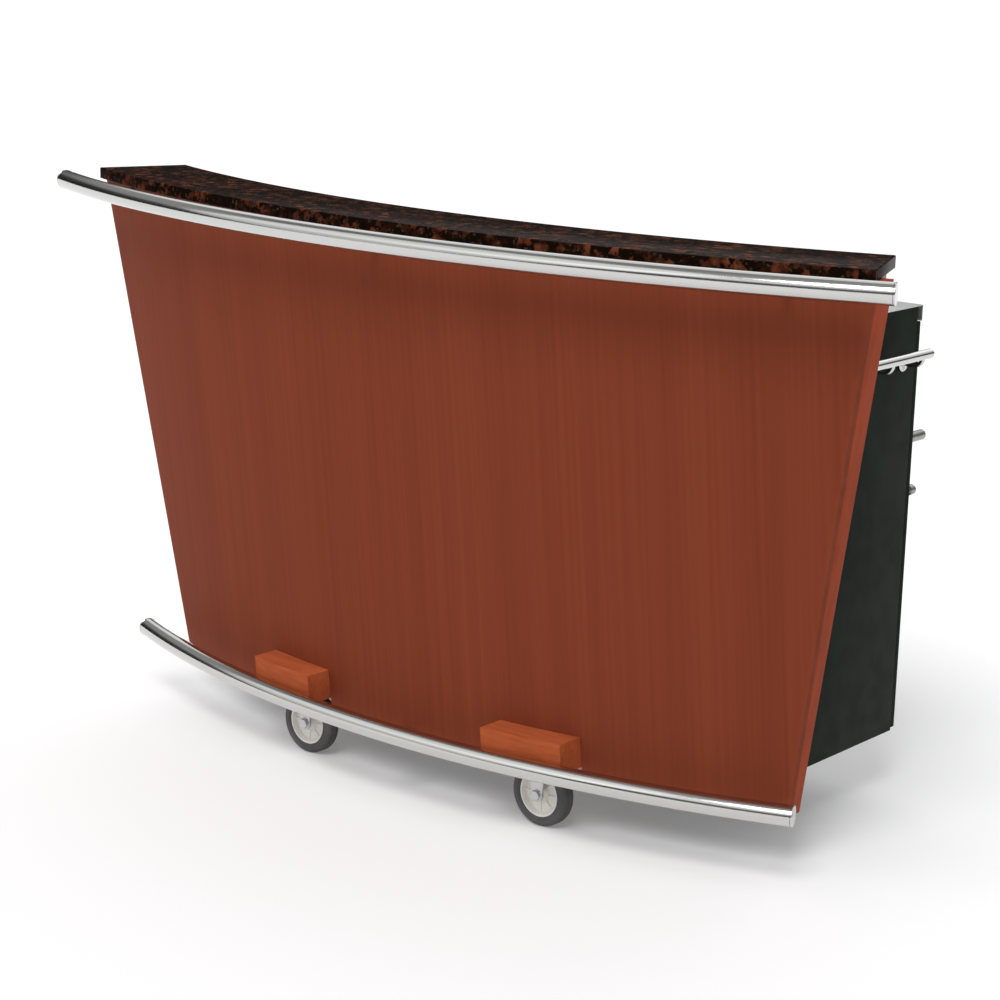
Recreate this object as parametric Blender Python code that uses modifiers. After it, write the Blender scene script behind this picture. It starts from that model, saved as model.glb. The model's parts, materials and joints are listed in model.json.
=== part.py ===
"""Portable bar on four casters: a curved, flared front on a low working cabinet.

Metres, +Z up. The guests stand on the -Y side and the bartender on the +Y side.
The origin is on the floor, under the middle of the whole bar.
"""
import math

import bmesh
import bpy
import numpy as np
from mathutils import Matrix, Vector

# Driving sizes

GAP = 0.0003                 # between pieces that touch
WALL_GAP = 0.0006            # between pieces that touch along the flared wall
TOP_Z = 1.100                # top of the stone
STONE_T = 0.022
STONE_OVERHANG = 0.004       # the stone stands this far in front of the wall
STONE_DEPTH = 0.188          # across the stone, front edge to rear edge
STONE_FRONT_R = 2.534        # plan radius of the stone's front edge
STONE_HALF_ANGLE = math.radians(21.3)
STONE_EASE = 0.002           # eased edges of the stone

RAIL_D = 0.038
RAIL_CAP_T = 0.004
RAIL_CAP_LIP = 0.0006
RAIL_SIDES = 3               # bevel resolution of the rails
RAIL_STEPS = 28
TOP_FOOT_ANGLE = math.radians(19.0)  # outer feet of the top rail
ARM_D = 0.012
ARM_DROP = 0.012             # a top foot's plate below its rail
TOP_RAIL_R = 2.469           # plan radius of the top rail's centre line
TOP_RAIL_DROP = 0.0277       # the top rail's centre below the top of the stone
TOP_RAIL_Z = TOP_Z - TOP_RAIL_DROP
TOP_RAIL_HALF_ANGLE = math.radians(23.45)
FOOT_RAIL_R = 2.156
FOOT_RAIL_Z = 0.1402
FOOT_RAIL_HALF_ANGLE = math.radians(22.1)
FOOT_RAIL_SET_BACK = 0.106   # how far the foot rail lies behind the top rail at the middle

FACE_BEHIND_TOP_RAIL = 0.072     # wall face behind each rail's centre line
FACE_BEHIND_FOOT_RAIL = 0.078
WALL_T = 0.055                   # through the wall at the top rail
WALL_TAPER = 0.019               # how much thinner it is at the foot rail
SKIN_T = 0.012
BACK_SKIN_T = 0.006
END_BOARD_T = 0.019
WALL_HALF_TOP = 0.9130       # half the width of the wall under the stone
WALL_HALF_BOTTOM = 0.7560
WALL_BOTTOM_Z = 0.104
RIB_T = 0.018
WALL_COLUMNS = 22            # facets along the curved pieces
CUT_REACH = 0.400            # how far a cutter reaches past what it cuts
CUT_PAST = 0.050
CUT_OVER = 0.010
EASE = 0.001                 # eased edges of boards and small pieces

SUB_TOP_T = 0.018
SUB_TOP_REVEAL = 0.012       # the stone stands past the board under it
ANGLE_BRACKET_X = 0.520
ANGLE_BRACKET_T = 0.004
ANGLE_BRACKET_W = 0.030
ANGLE_BRACKET_LEG = 0.075

CABINET_HALF = 0.676
CABINET_REAR_Y = 0.824
DECK_DROP = 0.149            # the work deck below the top of the stone
CABINET_TOP_Z = TOP_Z - DECK_DROP
CABINET_BOTTOM_Z = 0.131
BOARD_T = 0.018
CASTER_H = 0.158             # floor to the top of a caster's plate
BAY_HALF = 0.230             # centre line of each divider
KICK_SET_IN = 0.008
SHELF_Z = 0.520
SHELF_SET_IN = 0.045
GROOVE = 0.006               # how far a shelf's ends are let into the boards

DECK_T = 0.0015
DECK_FOLD = 0.028
DECK_HOLE_CLEAR = 0.001
BIN_HALF_X = 0.190
BIN_Y0 = 0.440
BIN_Y1 = 0.740
BIN_DEPTH = 0.260
BIN_WALL = 0.012             # double skin with foam
BIN_RIM = 0.014
BIN_RIM_T = 0.002
DRAIN_D = 0.026
DRAIN_BORE = 0.016
DRAIN_LEN = 0.090
LEVER_LEN = 0.060
LEVER_W = 0.012
LEVER_T = 0.003
LEVER_CAP_R = 0.007
LEVER_CAP_H = 0.007
LEVER_TAIL = 0.004           # the lever past its axis
DRAIN_FLANGE = 0.010         # how far the pipe's flange stands out
DRAIN_FLANGE_T = 0.004
BOSS_R = 0.008               # the boss that carries the lever
BOSS_OUT = 0.010
LID_T = 0.018
LID_SHEET = 0.0015
LID_GAP = 0.0012
LID_SET_BACK = 0.002         # lid's front edge behind the rim's
LID_EASE = 0.002
LID_BARREL_R = 0.005
LID_BARREL_AHEAD = 0.008     # hinge axis in front of the rim
LID_BARREL_SHARE = 0.6       # of the lid's width
LID_TONGUE_T = 0.002
GRIP_R = 0.004
GRIP_HALF = 0.050
GRIP_BEND = 0.012
GRIP_RISE = 0.028
GRIP_IN = 0.045              # grip's axis in from the lid's rear edge

DOOR_T = 0.018
DOOR_MARGIN = 0.003
DOOR_EDGE_CLEAR = 0.0015     # door to the divider's centre line
HINGE_OUT = 0.003            # hinge axis past the divider's inner face
KNOB_X_IN = 0.022            # knob axis, in from the door's free edge
KNOB_Z = 0.693
KNOB_D = 0.022
KNOB_LEN = 0.068
KNOB_HEAD = 0.016
KNOB_STEM_D = 0.012
KNOB_FOOT = 0.004            # how far the knob's foot flares
KNOB_ROUND = 0.002
LATCH_X_IN = 0.022
LATCH_Z = 0.590
LATCH_D = 0.020
LATCH_OUT = 0.046
LATCH_STEM_D = 0.010
LATCH_GRIP = 0.016           # length of the latch's turning head
LATCH_ROUND = 0.002
CAM_LEN = 0.016
CAM_W = 0.012
CAM_T = 0.003
CAM_BACK = 0.007             # the cam turns this far inside the door
SLOT_DEPTH = 0.0115          # the cam's slot in the cabinet side
SLOT_CLEAR = 0.0015
HINGE_PIN_D = 0.010
HINGE_LEN = 0.060
HINGE_LEAF_T = 0.002
HINGE_LEAF_W = 0.026
HINGE_IN = (0.136, 0.120)    # middles of the hinges, in from the door's low and high ends

BOTTLE_RAIL_Z0 = 0.560
BOTTLE_RAIL_H = 0.110
BOTTLE_RAIL_DEPTH = 0.105
BOTTLE_RAIL_SHEET = 0.002
BOTTLE_RAIL_LAP = 0.003      # each end laps over a divider's rear edge

HANDLE_D = 0.017
HANDLE_EASE = 0.002
HANDLE_DROP = 0.080          # a push handle below the work deck
HANDLE_OFF = 0.043           # tube centre from the cabinet's side
HANDLE_Y = (0.565, 0.786)
HANDLE_POSTS_Y = (0.655, 0.760)
POST_D = 0.009
POST_DROP = 0.022            # wall plate below the tube's centre
PLATE_D = 0.030
PLATE_T = 0.004

WHEEL_D = 0.125
TYRE_W = 0.032
TYRE_STEPS = 28              # facets round a tyre
HUB_STEPS = 20
RIM_D = 0.088
HUB_BORE_D = 0.0122
AXLE_D = 0.012
TRAIL = 0.036                # swivel axis to axle
FORK_T = 0.003
FORK_CLEAR = 0.002           # wheel to each leg
FORK_TOP_W = 0.052
AXLE_BOSS_R = 0.013
NUT_R = 0.010
NUT_T = 0.006
RACE_D = 0.058
RACE_H = 0.0115
PLATE_X = 0.100
PLATE_Y = 0.084
CASTER_PLATE_T = 0.0035
FRONT_CASTER = (0.294, 0.225)
REAR_CASTER_IN = 0.156       # rear swivel axis, in from the cabinet's side
REAR_CASTER = (CABINET_HALF - REAR_CASTER_IN, 0.690)
RACE_EASE = 0.002
TYRE_SHOULDER = 0.009        # where the tread starts, in from the tyre's side
TYRE_CROWN = 0.002
TYRE_SIDE_DROP = 0.008
HUB_BOSS_R = 0.015
HUB_WEB_HALF = 0.005
HUB_LIP = 0.006
HUB_DRAFT = 0.0015
HUB_IN = 0.002               # hub's rim in from the tyre's side
BLOCK_X = 0.300
BLOCK_W = 0.166
BLOCK_Z = (0.134, 0.193)
BLOCK_REAR_Y = 0.345
RECESS_CLEAR = 0.003
STRAP_W = 0.030
STRAP_T = 0.004
STRAP_DROP = 0.016           # middle of the strap below the foot rail's centre
STRAP_LEAF = 0.018           # the strap's leaf on the wall's face
PEDAL_LEN = 0.050
PEDAL_W = 0.034
PEDAL_T = 0.003
PEDAL_PIN_R = 0.004
PEDAL_LIP = 0.008

# What follows from the driving sizes

RAIL_R = RAIL_D / 2
WALL_TOP_Z = TOP_Z - STONE_T - GAP
BASE_Z = CASTER_H + GAP
DOOR_Z = (CABINET_BOTTOM_Z + DOOR_MARGIN, CABINET_TOP_Z - DECK_FOLD - DOOR_MARGIN)
HINGE_Z = (DOOR_Z[0] + HINGE_IN[0], DOOR_Z[1] - HINGE_IN[1])
HANDLE_Z = CABINET_TOP_Z - HANDLE_DROP
CARCASS_REAR_Y = CABINET_REAR_Y - DOOR_T - GAP
REAR_Y = max(CABINET_REAR_Y + GAP + KNOB_LEN, CARCASS_REAR_Y + GAP + BOTTLE_RAIL_DEPTH)
Y_SHIFT = (RAIL_R - REAR_Y) / 2      # puts the origin under the middle of the bar

COLOURS = {
    "cherry": ((0.18, 0.045, 0.022), 0.0, 0.45),
    "edge_wood": ((0.24, 0.055, 0.028), 0.0, 0.5),
    "plywood": ((0.55, 0.40, 0.24), 0.0, 0.7),
    "granite": ((0.03, 0.018, 0.012), 0.0, 0.15),
    "stainless": ((0.62, 0.62, 0.61), 1.0, 0.25),
    "black_laminate": ((0.02, 0.024, 0.021), 0.0, 0.55),
    "zinc": ((0.60, 0.61, 0.62), 1.0, 0.35),
    "tyre": ((0.06, 0.06, 0.065), 0.0, 0.8),
    "hub": ((0.70, 0.70, 0.68), 0.0, 0.4),
}


def start_scene():
    """Empties the scene and makes the two collections."""
    for obj in list(bpy.data.objects):
        bpy.data.objects.remove(obj)
    made = []
    for name in ("portable_bar", "cutters"):
        collection = bpy.data.collections.new(name)
        bpy.context.scene.collection.children.link(collection)
        made.append(collection)
    return made


PARTS, CUTTERS = start_scene()
MATERIALS = {}


def material(name):
    """The Principled material of a finish, made once."""
    if name not in MATERIALS:
        colour, metallic, roughness = COLOURS[name]
        made = bpy.data.materials.new(name)
        made.use_nodes = True
        shader = made.node_tree.nodes["Principled BSDF"]
        shader.inputs["Base Color"].default_value = (*colour, 1.0)
        shader.inputs["Metallic"].default_value = metallic
        shader.inputs["Roughness"].default_value = roughness
        MATERIALS[name] = made
    return MATERIALS[name]


def add(name, mesh, finish=None):
    """A mesh as a part, or as a cutter where it has no finish."""
    obj = bpy.data.objects.new(name, mesh)
    if finish is None:
        CUTTERS.objects.link(obj)
        obj.hide_render = True
        obj.display_type = "WIRE"
    else:
        PARTS.objects.link(obj)
        mesh.materials.append(material(finish))
    return obj


def mesh_from(bm, name):
    mesh = bpy.data.meshes.new(name)
    bmesh.ops.recalc_face_normals(bm, faces=bm.faces)
    bm.to_mesh(mesh)
    bm.free()
    return mesh


def add_block(bm, low, high, turn=None):
    """A cube between two corners, turned about its own centre where asked."""
    size = [b - a for a, b in zip(low, high)]
    middle = Vector([(a + b) / 2 for a, b in zip(low, high)])
    matrix = Matrix.Translation(middle) @ (turn or Matrix()) @ Matrix.Diagonal((*size, 1.0))
    return bmesh.ops.create_cube(bm, size=1.0, matrix=matrix)["verts"]


def box(name, low, high, finish=None, ease=0.0):
    """A board between two corners, with its edges eased where asked."""
    bm = bmesh.new()
    add_block(bm, low, high)
    obj = add(name, mesh_from(bm, name), finish)
    if ease:
        bevel(obj, ease)
    return obj


def boxes(name, corners, finish=None):
    """Several separate boards in one object."""
    bm = bmesh.new()
    for low, high in corners:
        add_block(bm, low, high)
    return add(name, mesh_from(bm, name), finish)


def bevel(obj, width, segments=1, angle=40):
    made = obj.modifiers.new("ease", "BEVEL")
    made.width = width
    made.segments = segments
    made.limit_method = "ANGLE"
    made.angle_limit = math.radians(angle)
    return made


def boolean(obj, other, operation="DIFFERENCE"):
    made = obj.modifiers.new(operation.lower(), "BOOLEAN")
    made.operation = operation
    made.solver = "EXACT"
    made.object = other
    return made


def evaluated(obj):
    """A new mesh of what the object's modifiers make, in world space."""
    bpy.context.view_layer.update()
    graph = bpy.context.evaluated_depsgraph_get()
    mesh = bpy.data.meshes.new_from_object(obj.evaluated_get(graph))
    mesh.transform(obj.matrix_world)
    return mesh


def settle(obj):
    """Applies an object's modifiers and its place, and leaves flat triangles."""
    mesh = evaluated(obj)
    bm = bmesh.new()
    bm.from_mesh(mesh)
    bmesh.ops.triangulate(bm, faces=bm.faces)
    bm.to_mesh(mesh)
    bm.free()
    obj.modifiers.clear()
    obj.data = mesh
    obj.matrix_world = Matrix()
    return obj


def remove(obj):
    bpy.data.objects.remove(obj)


def fuse(name, pieces, finish):
    """Joins pieces that overlap into one solid, in one Boolean."""
    first = settle(pieces[0])
    bm = bmesh.new()
    for other in pieces[1:]:
        bm.from_mesh(settle(other).data)
        remove(other)
    mesh = bpy.data.meshes.new(name)
    bm.to_mesh(mesh)
    bm.free()
    rest = add("rest", mesh)
    boolean(first, rest, "UNION").use_self = True
    settle(first)
    remove(rest)
    first.name = name
    first.data.materials.clear()
    first.data.materials.append(material(finish))
    return first


def smooth(obj, angle=35):
    obj.data.shade_smooth()
    obj.data.set_sharp_from_angle(angle=math.radians(angle))
    return obj


def look_along(direction, origin):
    """A place whose own Z points along a direction."""
    turn = Vector(direction).to_track_quat("Z", "Y").to_matrix().to_4x4()
    return Matrix.Translation(origin) @ turn


def turned(name, profile, finish=None, steps=24, place=None):
    """Revolves (radius, height) points, listed top to bottom, about the object's Z."""
    bm = bmesh.new()
    points = [bm.verts.new((radius, 0.0, height)) for radius, height in profile]
    for a, b in zip(points, points[1:]):
        bm.edges.new((a, b))
    mesh = bpy.data.meshes.new(name)
    bm.to_mesh(mesh)
    bm.free()
    obj = add(name, mesh, finish)
    screw = obj.modifiers.new("turn", "SCREW")
    screw.steps = steps
    screw.render_steps = steps
    screw.use_merge_vertices = True
    screw.merge_threshold = 0.00005
    screw.use_normal_calculate = False
    if place is not None:
        obj.matrix_world = place
    return obj


def rod(name, radius, start, end, finish=None, steps=16, ease=0.0):
    """A round bar between two points."""
    start, end = Vector(start), Vector(end)
    length = (end - start).length
    inner = max(radius - ease, 0.0)
    profile = [(0.0, length), (inner, length), (radius, length - ease), (radius, ease), (inner, 0.0), (0.0, 0.0)]
    if not ease:
        profile = [(0.0, length), (radius, length), (radius, 0.0), (0.0, 0.0)]
    return turned(name, profile, finish, steps, look_along(end - start, start))


def tube_along(name, points, radius, finish=None, sides=3, cyclic=False):
    """A round bar along points, as a closed mesh."""
    curve = bpy.data.curves.new(name, "CURVE")
    curve.dimensions = "3D"
    curve.bevel_depth = radius
    curve.bevel_resolution = sides
    curve.use_fill_caps = not cyclic
    spline = curve.splines.new("POLY")
    spline.points.add(len(points) - 1)
    for point, place in zip(spline.points, points):
        point.co = (*place, 1.0)
    spline.use_cyclic_u = cyclic
    guide = bpy.data.objects.new(name + "_guide", curve)
    CUTTERS.objects.link(guide)
    mesh = evaluated(guide)
    remove(guide)
    bm = bmesh.new()
    bm.from_mesh(mesh)
    bmesh.ops.remove_doubles(bm, verts=bm.verts, dist=0.00005)
    bmesh.ops.recalc_face_normals(bm, faces=bm.faces)
    bm.to_mesh(mesh)
    bm.free()
    return smooth(add(name, mesh, finish))


def prism(name, outline, low, high, axis, finish=None):
    """An outline of 2D points drawn out along X, Y or Z between two places."""
    def order(a, b, c):
        return {"X": (c, a, b), "Y": (a, c, b), "Z": (a, b, c)}[axis]

    bm = bmesh.new()
    face = bm.faces.new([bm.verts.new(order(a, b, low)) for a, b in outline])
    drawn = bmesh.ops.extrude_face_region(bm, geom=[face])["geom"]
    shift = Vector(order(0.0, 0.0, high - low))
    bmesh.ops.translate(bm, verts=[v for v in drawn if isinstance(v, bmesh.types.BMVert)], vec=shift)
    return add(name, mesh_from(bm, name), finish)


def parent_to(obj, pivot):
    obj.parent = pivot
    obj.matrix_parent_inverse = pivot.matrix_world.inverted()


def pivot_at(name, place):
    """An empty on a joint's axis."""
    empty = bpy.data.objects.new(name, None)
    empty.empty_display_size = 0.05
    CUTTERS.objects.link(empty)
    empty.location = place
    bpy.context.view_layer.update()
    return empty


# The flared wall: arcs in plan that run straight from the top rail's level to the foot rail's

def along(z):
    """0 at the top rail's level and 1 at the foot rail's."""
    return (TOP_RAIL_Z - z) / (TOP_RAIL_Z - FOOT_RAIL_Z)


def between(top, foot, z):
    return top + (foot - top) * along(z)


def wall_y(x, z, depth=0.0):
    """Y of the wall's face, or of a surface behind it; the rear surfaces come forward lower down."""
    if depth > WALL_T / 2:
        depth -= WALL_TAPER * along(z)
    radius = between(TOP_RAIL_R, FOOT_RAIL_R, z)
    inner = radius - between(FACE_BEHIND_TOP_RAIL, FACE_BEHIND_FOOT_RAIL, z) - depth
    return FOOT_RAIL_SET_BACK * along(z) + radius - math.sqrt(inner ** 2 - x ** 2)


def wall_half(z):
    share = (z - WALL_BOTTOM_Z) / (WALL_TOP_Z - WALL_BOTTOM_Z)
    return WALL_HALF_BOTTOM + (WALL_HALF_TOP - WALL_HALF_BOTTOM) * share


def wall_normal(x, z):
    """Points out of the wall's face, towards the guests."""
    step = 0.001
    across = Vector((step, wall_y(x + step, z) - wall_y(x, z), 0.0))
    up = Vector((0.0, wall_y(x, z + step) - wall_y(x, z), step))
    return across.cross(up).normalized()


def bent(name, left, right, depths, heights, finish=None, columns=WALL_COLUMNS):
    """A block bent to the wall; left and right give its ends at a height."""
    bm = bmesh.new()
    add_block(bm, (0.0, depths[0], heights[0]), (1.0, depths[1], heights[1]))
    for i in range(1, columns):
        everything = bm.verts[:] + bm.edges[:] + bm.faces[:]
        bmesh.ops.bisect_plane(bm, geom=everything, plane_co=(i / columns, 0, 0), plane_no=(1, 0, 0))
    for v in bm.verts:
        share, depth, z = v.co
        x = left(z) + (right(z) - left(z)) * share
        v.co = (x, wall_y(x, z, depth), z)
    return add(name, mesh_from(bm, name), finish)


def ahead_of_wall(name, depth):
    """A cutter that takes away everything in front of a surface of the wall."""
    wide = WALL_HALF_TOP + CUT_REACH / 2

    def left(z):
        return -wide

    def right(z):
        return wide

    return bent(name, left, right, (-CUT_REACH, depth), (CUT_PAST, TOP_Z + CUT_PAST))


def block_notch():
    """The space of both caster blocks, with their gap, open at the bottom."""
    half = BLOCK_W / 2 + WALL_GAP
    low_z = WALL_BOTTOM_Z - CUT_PAST
    corners = []
    for side in (-1, 1):
        middle = side * BLOCK_X
        corners.append(((middle - half, 0.0, low_z), (middle + half, BLOCK_REAR_Y + GAP, BLOCK_Z[1] + GAP)))
    return boxes("block_notch", corners)


def wall_edge(side, inset):
    """The place of a line down the wall, set in from its side, as a function of height."""
    def edge(z):
        return side * (wall_half(z) - inset)

    return edge


def make_wall(notch):
    """A veneered skin over two end boards and two ribs, with a thin back."""
    span = (WALL_BOTTOM_Z, WALL_TOP_Z)
    skin = bent("front_panel", wall_edge(-1, 0.0), wall_edge(1, 0.0), (0.0, SKIN_T), span, "cherry")
    inside = END_BOARD_T + WALL_GAP
    low, high = wall_edge(-1, inside), wall_edge(1, inside)
    back = bent("panel_back", low, high, (WALL_T - BACK_SKIN_T, WALL_T), span, "black_laminate")
    end_depths = (SKIN_T + WALL_GAP, WALL_T)
    left_board = (wall_edge(-1, 0.0), wall_edge(-1, END_BOARD_T))
    right_board = (wall_edge(1, END_BOARD_T), wall_edge(1, 0.0))
    bent("panel_end_left", *left_board, end_depths, span, "edge_wood", columns=1)
    bent("panel_end_right", *right_board, end_depths, span, "edge_wood", columns=1)
    rib_depths = (SKIN_T + WALL_GAP, WALL_T - BACK_SKIN_T - WALL_GAP)
    over_blocks = BLOCK_Z[1] + GAP
    bent("panel_rib_low", low, high, rib_depths, (over_blocks, over_blocks + RIB_T), "plywood")
    bent("panel_rib_top", low, high, rib_depths, (span[1] - RIB_T, span[1]), "plywood")
    for obj in (skin, back):
        boolean(obj, notch)


def ring_sector(name, front_radius, rear_radius, centre_y, half_angle, heights, finish=None):
    """A curved board whose ends point at the centre of its arcs."""
    angles = np.linspace(-half_angle, half_angle, WALL_COLUMNS + 1)
    around = [(front_radius, t) for t in angles] + [(rear_radius, t) for t in reversed(angles)]
    outline = [(radius * math.sin(t), centre_y - radius * math.cos(t)) for radius, t in around]
    return prism(name, outline, heights[0], heights[1], "Z", finish)


def make_top(wall_cutter):
    centre_y = wall_y(0.0, TOP_RAIL_Z) - STONE_OVERHANG + STONE_FRONT_R
    rear_radius = STONE_FRONT_R - STONE_DEPTH
    levels = (TOP_Z - STONE_T, TOP_Z)
    stone = ring_sector("bar_top", STONE_FRONT_R, rear_radius, centre_y, STONE_HALF_ANGLE, levels, "granite")
    bevel(stone, STONE_EASE)
    levels = (WALL_TOP_Z - SUB_TOP_T, WALL_TOP_Z)
    half_angle = STONE_HALF_ANGLE - SUB_TOP_REVEAL / rear_radius
    radius = rear_radius + SUB_TOP_REVEAL
    board = ring_sector("sub_top", STONE_FRONT_R, radius, centre_y, half_angle, levels, "plywood")
    boolean(board, wall_cutter)
    under = levels[0] - GAP
    for side, word in ((-1, "left"), (1, "right")):
        x = side * ANGLE_BRACKET_X
        y = wall_y(x, under, WALL_T)
        low_y = wall_y(x, under - ANGLE_BRACKET_LEG, WALL_T)
        slope = ANGLE_BRACKET_W / 2 * ANGLE_BRACKET_X / TOP_RAIL_R
        rear = ANGLE_BRACKET_T + WALL_GAP + slope
        ahead = WALL_T / 2                   # runs into the wall, and is cut to its rear face
        outline = [
            (y - ahead, under),
            (y + ANGLE_BRACKET_LEG, under),
            (y + ANGLE_BRACKET_LEG, under - ANGLE_BRACKET_T),
            (y + rear, under - ANGLE_BRACKET_T),
            (low_y + rear, under - ANGLE_BRACKET_LEG),
            (low_y - ahead, under - ANGLE_BRACKET_LEG),
        ]
        half = ANGLE_BRACKET_W / 2
        boolean(prism("top_bracket_" + word, outline, x - half, x + half, "X", "zinc"), wall_cutter)


def rail_points(radius, front_y, z, half_angle, steps=RAIL_STEPS):
    return [
        (radius * math.sin(t), front_y + radius - radius * math.cos(t), z)
        for t in np.linspace(-half_angle, half_angle, steps + 1)
    ]


def make_rail(name, radius, front_y, z, half_angle):
    """A bent tube with a flat cap welded on each end, and the cutter that seats what holds it."""
    inner_angle = half_angle - RAIL_CAP_T / radius
    points = rail_points(radius, front_y, z, inner_angle)
    pieces = [tube_along(name, points, RAIL_R, "stainless", RAIL_SIDES)]
    for side in (-1, 1):
        t = side * inner_angle
        along_rail = Vector((math.cos(t), math.sin(t), 0.0)) * side
        end = Vector((radius * math.sin(t), front_y + radius - radius * math.cos(t), z))
        start = end - along_rail * RAIL_CAP_T
        cap_r = RAIL_R + RAIL_CAP_LIP
        pieces.append(rod("cap", cap_r, start, end + along_rail * RAIL_CAP_T, "stainless", 20, ease=EASE))
    smooth(fuse(name, pieces, "stainless"))
    return tube_along(name + "_space", points, RAIL_R + GAP, None, RAIL_SIDES)


def rail_foot(name, x, z, target, space):
    """A round foot on the wall and an arm to a rail's centre, cut to the rail."""
    out = wall_normal(x, z)
    base = Vector((x, wall_y(x, z), z)) + out * WALL_GAP
    foot = rod("foot", PLATE_D / 2, base, base + out * PLATE_T, "stainless", 16, ease=EASE)
    arm = rod("arm", ARM_D / 2, base + out * PLATE_T / 2, target, "stainless", 12)
    bracket = smooth(fuse(name, [foot, arm], "stainless"))
    boolean(bracket, space)


def make_strap(foot_space):
    """A flat strap from the foot rail to the wall, with a leaf turned down on the wall's face."""
    top = FOOT_RAIL_Z - STRAP_DROP + STRAP_T / 2
    under = top - STRAP_T
    low = under - STRAP_LEAF

    def face_y(z, out=0.0):
        return wall_y(0.0, z) - WALL_GAP - out

    outline = [
        (FOOT_RAIL_SET_BACK, top), (face_y(top), top), (face_y(low), low), (face_y(low, STRAP_T), low),
        (face_y(under, STRAP_T), under), (FOOT_RAIL_SET_BACK, under),
    ]
    boolean(prism("foot_rail_strap", outline, -STRAP_W / 2, STRAP_W / 2, "X", "stainless"), foot_space)


def make_rails():
    top_space = make_rail("top_rail", TOP_RAIL_R, 0.0, TOP_RAIL_Z, TOP_RAIL_HALF_ANGLE)
    foot_space = make_rail(
        "foot_rail", FOOT_RAIL_R, FOOT_RAIL_SET_BACK, FOOT_RAIL_Z, FOOT_RAIL_HALF_ANGLE)
    for share, word in ((-1, "left"), (0, "middle"), (1, "right")):
        t = share * TOP_FOOT_ANGLE
        target = Vector(rail_points(TOP_RAIL_R, 0.0, TOP_RAIL_Z, t, 1)[1])
        inner = TOP_RAIL_R - FACE_BEHIND_TOP_RAIL
        rail_foot("top_rail_foot_" + word, inner * math.sin(t), TOP_RAIL_Z - ARM_DROP, target, top_space)
    make_strap(foot_space)
    return foot_space


# The working cabinet behind the wall

def latch_axis(side):
    return side * (CABINET_HALF - DOOR_MARGIN - LATCH_X_IN)


def make_carcass(wall_cutter, notch):
    finish = "black_laminate"
    board_top = CABINET_TOP_Z - DECK_T - GAP
    rear = CARCASS_REAR_Y
    base_top = BASE_Z + BOARD_T
    side_inner = CABINET_HALF - BOARD_T
    near, far = BAY_HALF - BOARD_T / 2, BAY_HALF + BOARD_T / 2
    shelf_rear = rear - SHELF_SET_IN
    groove_z = (SHELF_Z - GAP, SHELF_Z + BOARD_T + GAP)
    for side, word in ((-1, "left"), (1, "right")):
        def span(a, b):
            return sorted((side * a, side * b))

        xs = span(CABINET_HALF, side_inner)
        board = box("cabinet_side_" + word, (xs[0], 0.0, CABINET_BOTTOM_Z), (xs[1], rear, board_top), finish)
        xs = span(side_inner - CUT_OVER, side_inner + GROOVE)
        groove = box("side_groove_" + word, (xs[0], 0.0, groove_z[0]), (xs[1], shelf_rear + GAP, groove_z[1]))
        xs = span(side_inner - CUT_OVER, side_inner + SLOT_DEPTH)
        cam_y = CABINET_REAR_Y - DOOR_T - CAM_BACK
        low = (xs[0], cam_y - CAM_T - SLOT_CLEAR, LATCH_Z - CAM_LEN - SLOT_CLEAR)
        high = (xs[1], cam_y + SLOT_CLEAR, LATCH_Z + CAM_W / 2 + SLOT_CLEAR)
        for cutter in (wall_cutter, groove, box("cam_slot_" + word, low, high)):
            boolean(board, cutter)

        xs = span(near, far)
        board = box("divider_" + word, (xs[0], 0.0, base_top + GAP), (xs[1], rear, board_top), finish)
        xs = span(far - GROOVE, far + CUT_OVER)
        groove = box("divider_groove_" + word, (xs[0], 0.0, groove_z[0]), (xs[1], shelf_rear + GAP, groove_z[1]))
        for cutter in (wall_cutter, groove, notch):
            boolean(board, cutter)

        xs = span(far - GROOVE + GAP, side_inner + GROOVE - GAP)
        shelf = box("shelf_" + word, (xs[0], 0.0, SHELF_Z), (xs[1], shelf_rear, SHELF_Z + BOARD_T), finish)
        boolean(shelf, wall_cutter)
    half = side_inner - GAP
    base = box("cabinet_base", (-half, 0.0, BASE_Z), (half, rear, base_top), finish)
    boolean(base, wall_cutter)
    boolean(base, notch)
    kick_y = rear - KICK_SET_IN
    box("kick_board", (-half, kick_y - BOARD_T, CABINET_BOTTOM_Z), (half, kick_y, BASE_Z - GAP), finish)


def make_blocks(foot_space):
    """Wooden blocks that pass under the wall and carry the front casters."""
    depth = RAIL_R + GAP - FACE_BEHIND_FOOT_RAIL
    front = ahead_of_wall("block_front", depth)
    for side, word in ((-1, "left"), (1, "right")):
        middle = side * BLOCK_X
        low = (middle - BLOCK_W / 2, 0.0, BLOCK_Z[0])
        high = (middle + BLOCK_W / 2, BLOCK_REAR_Y, BLOCK_Z[1])
        block = box("caster_block_" + word, low, high, "edge_wood")
        boolean(block, front)
        boolean(block, foot_space)
        x, y = side * FRONT_CASTER[0], FRONT_CASTER[1]
        half_x, half_y = PLATE_X / 2 + RECESS_CLEAR, PLATE_Y / 2 + RECESS_CLEAR
        low = (x - half_x, y - half_y, BLOCK_Z[0] - CUT_OVER)
        high = (x + half_x, y + half_y, BASE_Z)
        boolean(block, box("recess_" + word, low, high))


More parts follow.
